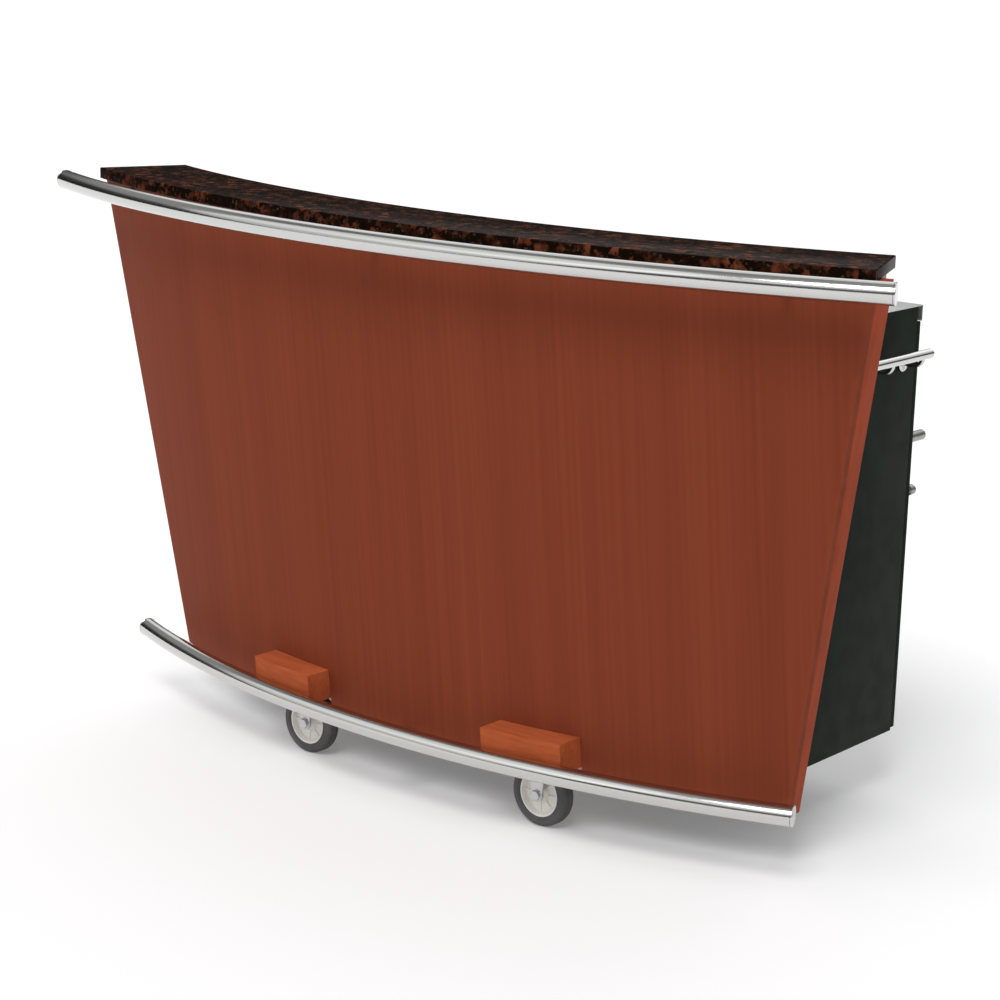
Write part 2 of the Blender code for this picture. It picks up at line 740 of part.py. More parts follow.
def make_deck(wall_cutter):
    top, rear = CABINET_TOP_Z, CABINET_REAR_Y
    sheet = box("sheet", (-CABINET_HALF, 0.0, top - DECK_T), (CABINET_HALF, rear, top), "stainless")
    fold_low = (-CABINET_HALF, rear - DECK_T, top - DECK_FOLD)
    fold = box("fold", fold_low, (CABINET_HALF, rear, top - DECK_T / 2), "stainless")
    deck = fuse("work_deck", [sheet, fold], "stainless")
    half, clear = BIN_HALF_X + DECK_HOLE_CLEAR, DECK_HOLE_CLEAR
    hole = box("deck_hole", (-half, BIN_Y0 - clear, top - CUT_PAST), (half, BIN_Y1 + clear, top + CUT_PAST))
    boolean(deck, wall_cutter)
    boolean(deck, hole)


def make_bin():
    top = CABINET_TOP_Z + GAP
    low_z = top - BIN_DEPTH
    outer = box("outer", (-BIN_HALF_X, BIN_Y0, low_z), (BIN_HALF_X, BIN_Y1, top + BIN_RIM_T), "stainless")
    rim_x, rim_top = BIN_HALF_X + BIN_RIM, top + BIN_RIM_T
    rim = box("rim", (-rim_x, BIN_Y0 - BIN_RIM, top), (rim_x, BIN_Y1 + BIN_RIM, rim_top), "stainless")
    ice_bin = fuse("ice_bin", [outer, rim], "stainless")
    low = (BIN_WALL - BIN_HALF_X, BIN_Y0 + BIN_WALL, low_z + BIN_WALL)
    high = (BIN_HALF_X - BIN_WALL, BIN_Y1 - BIN_WALL, top + CUT_PAST)
    boolean(ice_bin, box("bin_inside", low, high))
    middle_y = (BIN_Y0 + BIN_Y1) / 2
    start, end = (0, middle_y, low_z - CUT_OVER), (0, middle_y, low_z + CUT_PAST)
    bore = rod("bin_bore", DRAIN_BORE / 2, start, end)
    boolean(ice_bin, bore)
    make_drain(middle_y, low_z - GAP)


def make_drain(y, top_z):
    """The pipe under the ice bin, and the lever that turns its valve."""
    bore_r, pipe_r = DRAIN_BORE / 2, DRAIN_D / 2
    flange_r = pipe_r + DRAIN_FLANGE
    profile = [
        (bore_r, 0.0), (flange_r, 0.0), (flange_r, -DRAIN_FLANGE_T), (pipe_r, -DRAIN_FLANGE_T),
        (pipe_r, -DRAIN_LEN), (bore_r, -DRAIN_LEN), (bore_r, 0.0),
    ]
    pipe = turned("pipe", profile, "zinc", 16, Matrix.Translation((0, y, top_z)))
    boss_z = top_z - DRAIN_LEN / 2
    start_y, boss_y = y + (bore_r + pipe_r) / 2, y + pipe_r + BOSS_OUT
    boss = rod("boss", BOSS_R, (0, start_y, boss_z), (0, boss_y, boss_z), "zinc", 12)
    fuse("drain_pipe", [pipe, boss], "zinc")
    pivot = pivot_at("lever_axis", (0, boss_y, boss_z))
    y = boss_y + GAP
    low = (-LEVER_TAIL, y, boss_z - LEVER_W / 2)
    bar = box("bar", low, (LEVER_LEN, y + LEVER_T, boss_z + LEVER_W / 2), "zinc")
    cap = rod("cap", LEVER_CAP_R, (0, y, boss_z), (0, y + LEVER_CAP_H, boss_z), "zinc", 12)
    parent_to(fuse("drain_lever", [bar, cap], "zinc"), pivot)


def make_bottle_rail():
    half = BAY_HALF - BOARD_T / 2 + BOTTLE_RAIL_LAP
    y0 = CARCASS_REAR_Y + GAP
    y1 = y0 + BOTTLE_RAIL_DEPTH
    z0, z1 = BOTTLE_RAIL_Z0, BOTTLE_RAIL_Z0 + BOTTLE_RAIL_H
    rail = box("bottle_rail", (-half, y0, z0), (half, y1, z1), "stainless")
    t = BOTTLE_RAIL_SHEET
    boolean(rail, box("trough", (t - half, y0 + t, z0 + t), (half - t, y1 - t, z1 + CUT_PAST)))


def make_push_handles():
    """A bar on each end of the cabinet, welded to two swept arms with round feet."""
    for side, word in ((-1, "left"), (1, "right")):
        face = side * (CABINET_HALF + GAP)
        x = face + side * HANDLE_OFF
        start, end = (x, HANDLE_Y[0], HANDLE_Z), (x, HANDLE_Y[1], HANDLE_Z)
        pieces = [rod("bar", HANDLE_D / 2, start, end, "stainless", 14, ease=HANDLE_EASE)]
        foot_z = HANDLE_Z - POST_DROP
        bend = POST_DROP - HANDLE_D / 4
        for y in HANDLE_POSTS_Y:
            stop = (face + side * PLATE_T, y, foot_z)
            pieces.append(rod("foot", PLATE_D / 2, (face, y, foot_z), stop, "stainless", 14))
            sweep = [(face + side * PLATE_T / 2, y, foot_z)]
            for t in np.linspace(0.0, math.pi / 2, 5):
                out = HANDLE_OFF - bend + bend * math.sin(t)
                sweep.append((face + side * out, y, foot_z + bend - bend * math.cos(t)))
            pieces.append(tube_along("arm", sweep, POST_D / 2, "stainless", 1))
        smooth(fuse("push_handle_" + word, pieces, "stainless"))


# Doors, latches and the lid

def make_door(side, word):
    """A door hung on the divider, with its knob, latch and hinge leaves."""
    pivot_x = side * (BAY_HALF - BOARD_T / 2 + HINGE_OUT)
    pivot_y = CABINET_REAR_Y + HINGE_PIN_D / 2
    pivot = pivot_at("door_axis_" + word, (pivot_x, pivot_y, 0.0))
    y0, y1 = CABINET_REAR_Y - DOOR_T, CABINET_REAR_Y
    inner_x = BAY_HALF + DOOR_EDGE_CLEAR
    xs = sorted((side * inner_x, side * (CABINET_HALF - DOOR_MARGIN)))
    z0, z1 = DOOR_Z
    door = box("door_" + word, (xs[0], y0, z0), (xs[1], y1, z1), "black_laminate", ease=EASE)
    axis_x = latch_axis(side)
    stem_r = LATCH_STEM_D / 2
    start, end = (axis_x, y0 - CUT_OVER, LATCH_Z), (axis_x, y1 + CUT_OVER, LATCH_Z)
    hole = rod("latch_hole", stem_r + GAP, start, end)
    boolean(door, hole)
    parent_to(door, pivot)

    knob_x = side * (CABINET_HALF - DOOR_MARGIN - KNOB_X_IN)
    r, stem, head = KNOB_D / 2, KNOB_STEM_D / 2, KNOB_LEN - KNOB_HEAD
    rounded = KNOB_ROUND
    profile = [
        (0.0, KNOB_LEN), (r - 2 * rounded, KNOB_LEN), (r - rounded / 2, KNOB_LEN - rounded),
        (r, KNOB_LEN - 2 * rounded), (r - rounded / 2, head + rounded), (stem, head),
        (stem, KNOB_FOOT + rounded / 2), (stem + KNOB_FOOT, rounded), (stem + KNOB_FOOT, 0.0), (0.0, 0.0),
    ]
    place = look_along((0, 1, 0), (knob_x, y1 + GAP, KNOB_Z))
    parent_to(smooth(settle(turned("door_knob_" + word, profile, "stainless", 14, place))), pivot)

    turn_pivot = pivot_at("latch_axis_" + word, (axis_x, y1, LATCH_Z))
    parent_to(turn_pivot, pivot)
    bpy.context.view_layer.update()
    r, out = LATCH_D / 2, LATCH_OUT
    rounded, inner = LATCH_ROUND, -DOOR_T - CAM_BACK - CAM_T
    neck = stem_r + rounded / 2
    profile = [
        (0.0, out), (r - rounded, out), (r, out - rounded), (r, out - LATCH_GRIP),
        (neck, out - LATCH_GRIP - rounded), (neck, 2 * rounded), (r - rounded / 2, 1.5 * rounded),
        (r - rounded / 2, GAP), (stem_r, GAP), (stem_r, inner), (0.0, inner),
    ]
    knob = turned("turn", profile, "stainless", 14, look_along((0, 1, 0), (axis_x, y1, LATCH_Z)))
    cam_y = y0 - CAM_BACK - CAM_T - GAP
    low = (axis_x - CAM_W / 2, cam_y, LATCH_Z - CAM_LEN)
    cam = box("cam", low, (axis_x + CAM_W / 2, cam_y + CAM_T, LATCH_Z + CAM_W / 2), "stainless")
    parent_to(smooth(fuse("latch_" + word, [knob, cam], "stainless")), turn_pivot)

    make_hinge(word, side, pivot, (pivot_x, pivot_y), inner_x)


def make_hinge(word, side, pivot, axis, door_edge):
    """A strap hinge: one strap in the cabinet, one on the door, and two pairs of knuckles."""
    r, half = HINGE_PIN_D / 2, HINGE_LEN / 2
    ends = (min(HINGE_Z) - half, max(HINGE_Z) + half)
    face = side * (BAY_HALF - BOARD_T / 2 - GAP)
    xs = sorted((face, face - side * HINGE_LEAF_T))
    low = (xs[0], CARCASS_REAR_Y - HINGE_LEAF_W, ends[0])
    fixed = [box("strap", low, (xs[1], CARCASS_REAR_Y - GAP, ends[1]), "zinc")]
    y0 = CABINET_REAR_Y + GAP
    door_xs = sorted((side * door_edge, side * (door_edge + HINGE_LEAF_W)))
    moving = [box("strap", (door_xs[0], y0, ends[0]), (door_xs[1], y0 + HINGE_LEAF_T, ends[1]), "zinc")]
    for z in HINGE_Z:
        fixed.append(rod("pin", r, (*axis, z - half), (*axis, z - GAP), "zinc", 12))
        low = (xs[0], CARCASS_REAR_Y - HINGE_LEAF_W / 2, z - half)
        fixed.append(box("arm", low, (xs[1], axis[1], z - GAP), "zinc"))
        moving.append(rod("pin", r, (*axis, z + GAP), (*axis, z + half), "zinc", 12))
        arm_xs = sorted((axis[0], side * (door_edge + HINGE_LEAF_W / 2)))
        low = (arm_xs[0], y0, z + GAP)
        moving.append(box("arm", low, (arm_xs[1], y0 + HINGE_LEAF_T, z + half), "zinc"))
    smooth(fuse("cabinet_hinge_" + word, fixed, "zinc"))
    parent_to(smooth(fuse("door_hinge_" + word, moving, "zinc")), pivot)


def make_lid():
    rim_front, rim_top = BIN_Y0 - BIN_RIM, CABINET_TOP_Z + GAP + BIN_RIM_T
    axis_y = rim_front - LID_BARREL_AHEAD
    axis_z = CABINET_TOP_Z + GAP + LID_BARREL_R
    pivot = pivot_at("lid_axis", (0, axis_y, axis_z))
    half = BIN_HALF_X + BIN_RIM
    y0, y1 = rim_front + LID_SET_BACK, BIN_Y1 + BIN_RIM
    z0, z1 = rim_top + LID_GAP, rim_top + LID_GAP + LID_T
    lid = box("lid", (-half, y0, z0), (half, y1, z1), "stainless", ease=LID_EASE)
    inside_low = (LID_SHEET - half, y0 + LID_SHEET, z0 - CUT_OVER)
    boolean(lid, box("lid_inside", inside_low, (half - LID_SHEET, y1 - LID_SHEET, z1 - LID_SHEET)))
    long = half * LID_BARREL_SHARE
    barrel = rod("barrel", LID_BARREL_R, (-long, axis_y, axis_z), (long, axis_y, axis_z), "stainless", 12)
    top = axis_z + LID_BARREL_R
    tongue_end = y0 + LID_SHEET / 2
    tongue = box("tongue", (-long, axis_y, top - LID_TONGUE_T), (long, tongue_end, top), "stainless")
    handle_y = y1 - GRIP_IN
    points = [(-GRIP_HALF, handle_y, z1 - LID_SHEET / 2)]
    for t in np.linspace(0.0, math.pi / 2, 5):
        x = GRIP_BEND - GRIP_HALF - GRIP_BEND * math.cos(t)
        points.append((x, handle_y, z1 + GRIP_RISE - GRIP_BEND + GRIP_BEND * math.sin(t)))
    points += [(-x, y, z) for x, y, z in reversed(points)]
    grip = tube_along("grip", points, GRIP_R, "stainless", 2)
    parent_to(smooth(fuse("ice_bin_lid", [lid, barrel, tongue, grip], "stainless")), pivot)


# Casters

def leg_outline(top_x, half_top, top_z, axle_x, axle_z, boss):
    """A tapered leg that ends round the axle."""
    outline = [(top_x - half_top, top_z), (top_x + half_top, top_z)]
    outline += [
        (axle_x + boss * math.cos(t), axle_z + boss * math.sin(t))
        for t in np.linspace(math.radians(20), math.radians(-200), 12)
    ]
    return outline


def make_caster(word, x, y, swivels):
    """Fork, hub and tyre; the wheel's axle lies along Y."""
    wheel_r = WHEEL_D / 2
    trail = -TRAIL if swivels else 0.0
    place = Matrix.Translation((x, y, 0.0))
    under_plate = CASTER_H - CASTER_PLATE_T - GAP
    fork_top = under_plate - RACE_H if swivels else CASTER_H - CASTER_PLATE_T / 2
    leg_y = TYRE_W / 2 + FORK_CLEAR
    pieces = []
    half = FORK_TOP_W / 2
    low = (-half, -leg_y - FORK_T, fork_top - FORK_T)
    pieces.append(box("crown", low, (half, leg_y + FORK_T, fork_top), "zinc"))
    outline = leg_outline(0.0, half, fork_top, trail, wheel_r, AXLE_BOSS_R)
    pieces.append(prism("leg", outline, leg_y, leg_y + FORK_T, "Y", "zinc"))
    pieces.append(prism("leg", outline, -leg_y - FORK_T, -leg_y, "Y", "zinc"))
    end = leg_y + FORK_T + NUT_T
    start, stop = (trail, -end + NUT_T / 2, wheel_r), (trail, end - NUT_T / 2, wheel_r)
    pieces.append(rod("axle", AXLE_D / 2, start, stop, "zinc", 16))
    for sign in (-1, 1):
        near = (trail, sign * (leg_y + FORK_T / 2), wheel_r)
        pieces.append(rod("nut", NUT_R, near, (trail, sign * end, wheel_r), "zinc", 6))
    plate_low = (-PLATE_X / 2, -PLATE_Y / 2, CASTER_H - CASTER_PLATE_T)
    plate = box("caster_plate_" + word, plate_low, (PLATE_X / 2, PLATE_Y / 2, CASTER_H), "zinc")
    if swivels:
        plate.matrix_world = place
        race_r, sunk = RACE_D / 2, fork_top - FORK_T / 2
        race = [(0.0, under_plate), (race_r - RACE_EASE, under_plate), (race_r, under_plate - RACE_EASE),
                (race_r, sunk), (0.0, sunk)]
        pieces.append(turned("race", race, "zinc", 20))
    else:
        pieces.append(plate)
    fork = fuse("caster_fork_" + word, pieces, "zinc")
    fork.data.transform(place)

    facet = math.pi / TYRE_STEPS
    rim_r, bore_r, half_w = RIM_D / 2, HUB_BORE_D / 2, TYRE_W / 2
    wheel_r /= math.cos(facet)           # a facet, and not a corner, rests on the floor
    crown_r, side_r = wheel_r - TYRE_CROWN, wheel_r - TYRE_SIDE_DROP
    seat, edge, tread = half_w - TYRE_CROWN / 2, half_w - 2 * TYRE_CROWN, half_w - TYRE_SHOULDER
    tyre = [(rim_r, seat), (side_r, half_w), (crown_r, edge), (wheel_r, tread), (wheel_r, -tread),
            (crown_r, -edge), (side_r, -half_w), (rim_r, -seat), (rim_r, seat)]
    boss, web, lip, rim = HUB_BOSS_R, HUB_WEB_HALF, rim_r - HUB_LIP, half_w - HUB_IN
    outer = rim_r * math.cos(facet) - GAP
    hub = [(bore_r, half_w), (boss, half_w), (boss + HUB_DRAFT, web), (lip, web), (lip + HUB_DRAFT, rim),
           (outer, rim), (outer, -rim), (lip + HUB_DRAFT, -rim), (lip, -web),
           (boss + HUB_DRAFT, -web), (boss, -half_w), (bore_r, -half_w), (bore_r, half_w)]
    centre = (trail, 0, WHEEL_D / 2)
    axle_place = place @ look_along((0, 1, 0), centre)
    tyre_place = axle_place @ Matrix.Rotation(facet, 4, "Z")
    wheel = [settle(turned("caster_tyre_" + word, tyre, "tyre", TYRE_STEPS, tyre_place)),
             settle(turned("caster_hub_" + word, hub, "hub", HUB_STEPS, axle_place))]
    bpy.context.view_layer.update()
    spin = pivot_at("wheel_axis_" + word, place @ Vector(centre))
    for obj in wheel:
        parent_to(smooth(obj), spin)
    if swivels:
        pivot = pivot_at("swivel_axis_" + word, (x, y, 0.0))
        parent_to(fork, pivot)
        parent_to(spin, pivot)
        make_pedal(word, place, fork_top, pivot)


def make_pedal(word, place, fork_top, swivel):
    """A brake pedal hinged on the trailing edge of the fork's crown."""
    axis_x = -max(FORK_TOP_W, RACE_D) / 2 - PEDAL_PIN_R - GAP
    axis_z = fork_top - FORK_T / 2
    half_t = PEDAL_T / 2
    tip_x = axis_x - PEDAL_LEN
    outline = [(tip_x, axis_z - half_t)]
    outline += [
        (axis_x + PEDAL_PIN_R * math.cos(t), axis_z + PEDAL_PIN_R * math.sin(t))
        for t in np.linspace(math.radians(-158), math.radians(158), 12)
    ]
    outline += [(tip_x + PEDAL_T, axis_z + half_t), (tip_x + PEDAL_T, axis_z + PEDAL_LIP), (tip_x, axis_z + PEDAL_LIP)]
    pedal = prism("brake_pedal_" + word, outline, -PEDAL_W / 2, PEDAL_W / 2, "Y", "zinc")
    pedal.data.transform(place)
    pivot = pivot_at("pedal_axis_" + word, place @ Vector((axis_x, 0, axis_z)))
    parent_to(pivot, swivel)
    bpy.context.view_layer.update()
    parent_to(pedal, pivot)


def make_casters():
    for side, name in ((-1, "left"), (1, "right")):
        make_caster("front_" + name, side * FRONT_CASTER[0], FRONT_CASTER[1], False)
        make_caster("rear_" + name, side * REAR_CASTER[0], REAR_CASTER[1], True)


def main():
    wall_cutter = ahead_of_wall("wall_cutter", WALL_T + WALL_GAP)
    notch = block_notch()
    make_wall(notch)
    make_top(wall_cutter)
    foot_space = make_rails()
    make_carcass(wall_cutter, notch)
    make_blocks(foot_space)
    make_deck(wall_cutter)
    make_bin()
    make_bottle_rail()
    make_push_handles()
    make_door(-1, "left")
    make_door(1, "right")
    make_lid()
    make_casters()
    for obj in bpy.data.objects:
        if obj.parent is None:
            obj.location.y += Y_SHIFT
    bpy.context.view_layer.update()


main()
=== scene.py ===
"""Looks of the portable bar: fine meshes, finishes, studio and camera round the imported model."""
import json
import math

import bmesh
import bpy
from mathutils import Matrix, Vector
from mathutils.bvhtree import BVHTree


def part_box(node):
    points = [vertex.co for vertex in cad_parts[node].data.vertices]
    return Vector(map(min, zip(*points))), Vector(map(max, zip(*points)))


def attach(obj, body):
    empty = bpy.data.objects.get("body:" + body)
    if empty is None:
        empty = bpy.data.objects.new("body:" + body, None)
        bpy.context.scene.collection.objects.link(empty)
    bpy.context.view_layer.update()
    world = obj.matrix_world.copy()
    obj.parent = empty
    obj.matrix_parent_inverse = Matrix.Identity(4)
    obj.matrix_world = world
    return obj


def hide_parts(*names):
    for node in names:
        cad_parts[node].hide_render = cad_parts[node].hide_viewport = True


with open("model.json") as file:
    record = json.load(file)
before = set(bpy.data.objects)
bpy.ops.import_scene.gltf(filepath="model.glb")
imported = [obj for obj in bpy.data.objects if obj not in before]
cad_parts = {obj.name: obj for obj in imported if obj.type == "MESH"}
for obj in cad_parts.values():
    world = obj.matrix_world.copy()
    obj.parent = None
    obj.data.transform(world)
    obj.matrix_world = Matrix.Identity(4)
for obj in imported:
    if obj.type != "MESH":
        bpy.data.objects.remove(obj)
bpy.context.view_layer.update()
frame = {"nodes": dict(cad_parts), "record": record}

# Driving sizes, in metres

RAIL_R = 0.019
RAIL_CAP_T = 0.004
FRONT_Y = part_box("top_rail")[0].y + RAIL_R      # the foremost point of its centre line
TOP_RAIL_PLAN_R = 2.469
TOP_RAIL_Z = (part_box("top_rail")[0].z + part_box("top_rail")[1].z) / 2
TOP_RAIL_ANGLE = math.radians(23.45)
FOOT_RAIL_PLAN_R = 2.156
FOOT_RAIL_Z = (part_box("foot_rail")[0].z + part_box("foot_rail")[1].z) / 2
FOOT_RAIL_ANGLE = math.radians(22.1)
FOOT_SET_BACK = 0.106
FACE_BEHIND_TOP = 0.072
FACE_BEHIND_FOOT = 0.078
WALL_T = 0.055
WALL_TAPER = 0.019        # the wall is this much thinner at the foot rail's level
SKIN_T = 0.012
BACK_SKIN_T = 0.006
END_BOARD_T = 0.019
WALL_GAP = 0.0006
PLY_T = 0.0015            # one layer of the plywood
WALL_LOW_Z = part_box("panel_end_right")[0].z
WALL_TOP_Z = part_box("panel_end_right")[1].z
WALL_HALF_TOP = 0.9130
WALL_HALF_LOW = 0.7560
STONE_PLAN_R = 2.534
STONE_DEPTH = 0.188
STONE_ANGLE = math.radians(21.3)
STONE_OVERHANG = 0.004
STONE_EASE = 0.002
WHEEL_R = 0.0625
TYRE_W = 0.032
RIM_R = 0.044
AXLE_R = 0.006
FORK_T = 0.003
FORK_CLEAR = 0.002
TRAIL = 0.036
CROWN_HALF = 0.026
CASTER_PLATE_T = 0.0035
FRONT_PLATE_HALF = 0.042
RACE_R = 0.029
RACE_H = 0.0115
GAP = 0.0003              # clearance between parts that move past each other
HINGE_PIN_R = 0.005
HINGE_HALF = 0.030
HINGE_LEAF_T = 0.002
HINGE_LEAF_W = 0.026
HINGE_MIDDLES = (0.270, 0.800)
HANDLE_R = 0.0092
POST_R = 0.0045
FOOT_R = 0.015
FOOT_T = 0.004
HANDLE_CAD_R = 0.0085     # the bar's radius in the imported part, which sets where its centre lies
HANDLE_POSTS_Y = (0.209, 0.314)
LATCH_Z = 0.590
LID_SHEET = 0.0015
BIN_WALL = 0.012
BIN_RIM = 0.014
TROUGH_SHEET = 0.002
SIDES = ((-1, "left"), (1, "right"))
CARCASS_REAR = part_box("cabinet_side_left")[1].y
DOOR_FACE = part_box("door_left")[1].y
QUARTER = math.pi / 2

# The photographed view

FOCAL_PX = 2530.75
FRAME_PX = 1000.0
CENTRE_PX = (-6.2636, 7.7589)
CAMERA_YAW = math.radians(39.43)
CAMERA_PITCH = math.radians(13.78)
CAMERA_ROLL = math.radians(1.53)
CAMERA_TARGET = Vector((0.0392, FRONT_Y + 0.3694, 0.5314))
CAMERA_DISTANCE = 4.8088


# Short calls for node trees

class Tree:
    """A node tree being built: a socket given as a value is linked, and anything else is set."""

    def __init__(self, tree):
        self.tree = tree

    def put(self, socket, value):
        if isinstance(value, bpy.types.NodeSocket):
            self.tree.links.new(value, socket)
        else:
            socket.default_value = value

    def feed(self, node, inputs):
        for key, value in inputs.items():
            self.put(node.inputs[key], value)

    def add(self, kind, inputs=None, **settings):
        node = self.tree.nodes.new(kind)
        for key, value in settings.items():
            setattr(node, key, value)
        self.feed(node, inputs or {})
        return node

    def calc(self, operation, *values):
        """A Math node's result."""
        kind = "ShaderNodeMath"
        return self.add(kind, dict(enumerate(values)), operation=operation).outputs[0]

    def lerp(self, a, b, share):
        """a at share 0 and b at share 1."""
        return self.calc("MULTIPLY_ADD", self.calc("SUBTRACT", b, a), share, a)

    def spread(self, value, low, high, to_low=0.0, to_high=1.0, **settings):
        """A Map Range node's result, clamped unless the settings say otherwise."""
        inputs = {"Value": value, "From Min": low, "From Max": high, "To Min": to_low, "To Max": to_high}
        return self.add("ShaderNodeMapRange", inputs, **settings).outputs["Result"]

    def noise(self, vector, scale, **more):
        """A Noise Texture node's value."""
        return self.add("ShaderNodeTexNoise", {"Vector": vector, "Scale": scale, **more}).outputs["Fac"]

    def axes(self, vector):
        """The X, Y and Z of a vector, by name."""
        return self.add("ShaderNodeSeparateXYZ", {"Vector": vector}).outputs

    def vector(self, **axes):
        return self.add("ShaderNodeCombineXYZ", axes).outputs["Vector"]

    def blend(self, factor, a, b):
        """Two colours mixed."""
        node = self.add("ShaderNodeMix", {"Factor": factor}, data_type="RGBA")
        colours = [socket for socket in node.inputs if socket.type == "RGBA"]
        for socket, value in zip(colours, (a, b)):
            self.put(socket, value)
        return [socket for socket in node.outputs if socket.type == "RGBA"][0]


def new_group(name, kind, inputs, outputs):
    """An empty node group with named sockets; returns its Tree, its inputs by name and its output node."""
    group = bpy.data.node_groups.new(name, kind)
    for socket, socket_type, value in inputs:
        made = group.interface.new_socket(socket, in_out="INPUT", socket_type=socket_type)
        if value is not None:
            made.default_value = value
    for socket, socket_type in outputs:
        group.interface.new_socket(socket, in_out="OUTPUT", socket_type=socket_type)
    tree = Tree(group)
    return tree, tree.add("NodeGroupInput").outputs, tree.add("NodeGroupOutput")


FLOAT, COLOUR, VECTOR = "NodeSocketFloat", "NodeSocketColor", "NodeSocketVector"
GEOMETRY, INTEGER, MATERIAL = "NodeSocketGeometry", "NodeSocketInt", "NodeSocketMaterial"


# Effects that several finishes share

def grain_group():
    """Wood figure along the vector's Z: a colour from broad bands, streaks and pores, and a height."""
    inputs = [("Vector", VECTOR, None), ("Dark", COLOUR, None), ("Light", COLOUR, None), ("Streaks", FLOAT, 120.0),
              ("Bands", FLOAT, 9.0), ("Pores", FLOAT, 0.30), ("Length", FLOAT, 0.008), ("Depth", FLOAT, 1.0)]
    tree, give, out = new_group("Wood Grain", "ShaderNodeTree", inputs, [("Color", COLOUR), ("Height", FLOAT)])
    axes = tree.axes(give["Vector"])
    sway = tree.calc("MULTIPLY", tree.noise(give["Vector"], 1.7, Detail=2.0), 0.008)
    line = tree.vector(X=tree.calc("ADD", axes["X"], sway), Y=tree.calc("MULTIPLY", axes["Y"], give["Depth"]),
                       Z=tree.calc("MULTIPLY", axes["Z"], give["Length"]))
    streaks = tree.spread(tree.noise(line, give["Streaks"], Detail=5.0, Roughness=0.6), 0.32, 0.68)
    bands = tree.spread(tree.noise(line, give["Bands"], Detail=2.0, Roughness=0.5), 0.35, 0.65)
    fine = tree.calc("MULTIPLY", give["Streaks"], 9.0)
    pores = tree.spread(tree.noise(line, fine, Detail=2.0, Roughness=0.5), 0.60, 0.72)
    colour = tree.blend(tree.lerp(streaks, bands, 0.4), give["Dark"], give["Light"])
    depth = tree.calc("MULTIPLY", pores, give["Pores"])
    colour = tree.blend(depth, colour, give["Dark"])
    height = tree.calc("SUBTRACT", tree.calc("MULTIPLY", streaks, 0.3), depth)
    tree.feed(out, {"Color": colour, "Height": height})
    return tree.tree


def brush_group():
    """Fine scratches drawn along one axis: a roughness and a height."""
    inputs = [("Vector", VECTOR, None), ("Fineness", FLOAT, 900.0), ("Smooth", FLOAT, 0.2), ("Rough", FLOAT, 0.36)]
    outputs = [("Roughness", FLOAT), ("Height", FLOAT)]
    tree, give, out = new_group("Brushed Lines", "ShaderNodeTree", inputs, outputs)
    lines = tree.noise(give["Vector"], give["Fineness"], Detail=3.0)
    cloud = tree.noise(give["Vector"], 6.0)
    share = tree.spread(tree.lerp(lines, cloud, 0.3), 0.35, 0.65)
    rough = tree.lerp(give["Smooth"], give["Rough"], share)
    tree.feed(out, {"Roughness": rough, "Height": lines})
    return tree.tree


def wear_group():
    """Handling marks: rubbed edges, scuffs and dust low down, as one mask each."""
    inputs = [("Vector", VECTOR, None), ("Edge", FLOAT, 0.5), ("Scuff Scale", FLOAT, 30.0), ("Scuffs", FLOAT, 0.3)]
    outputs = [("Edges", FLOAT), ("Scuffs", FLOAT), ("Dust", FLOAT)]
    tree, give, out = new_group("Handling Wear", "ShaderNodeTree", inputs, outputs)
    sharp = tree.spread(tree.add("ShaderNodeNewGeometry").outputs["Pointiness"], 0.53, 0.62)
    patches = tree.noise(give["Vector"], 24.0, Detail=4.0)
    patchy = tree.calc("MULTIPLY", sharp, tree.spread(patches, 0.4, 0.6, 0.2, 1.0))
    edges = tree.calc("MULTIPLY", patchy, give["Edge"])
    marks = tree.noise(give["Vector"], give["Scuff Scale"], Detail=8.0, Roughness=0.7, Distortion=1.2)
    scuffs = tree.calc("MULTIPLY", tree.spread(marks, 0.56, 0.72), give["Scuffs"])
    low = tree.spread(tree.axes(give["Vector"])["Z"], 0.30, 0.08)
    dust = tree.calc("MULTIPLY", low, tree.spread(patches, 0.3, 0.7, 0.1, 0.5))
    tree.feed(out, {"Edges": edges, "Scuffs": scuffs, "Dust": dust})
    return tree.tree


GRAIN = grain_group()
BRUSH = brush_group()
WEAR = wear_group()


# Finishes

def start_material(name, **plain):
    """A material, its Tree and its Principled shader, with plain values set on the shader."""
    made = bpy.data.materials.new(name)
    made.use_nodes = True
    shader = made.node_tree.nodes["Principled BSDF"]
    for key, value in plain.items():
        shader.inputs[key.replace("_", " ")].default_value = value
    return made, Tree(made.node_tree), shader


def object_vector(tree, scale=(1.0, 1.0, 1.0), turn=(0.0, 0.0, 0.0)):
    coordinates = tree.add("ShaderNodeTexCoord").outputs["Object"]
    inputs = {"Vector": coordinates, "Scale": scale, "Rotation": turn}
    return tree.add("ShaderNodeMapping", inputs).outputs["Vector"]


def group_node(tree, group, inputs):
    node = tree.add("ShaderNodeGroup", node_tree=group)
    tree.feed(node, inputs)
    return node


def bump(tree, shader, height, distance, strength):
    inputs = {"Height": height, "Distance": distance, "Strength": strength}
    tree.feed(shader, {"Normal": tree.add("ShaderNodeBump", inputs).outputs["Normal"]})


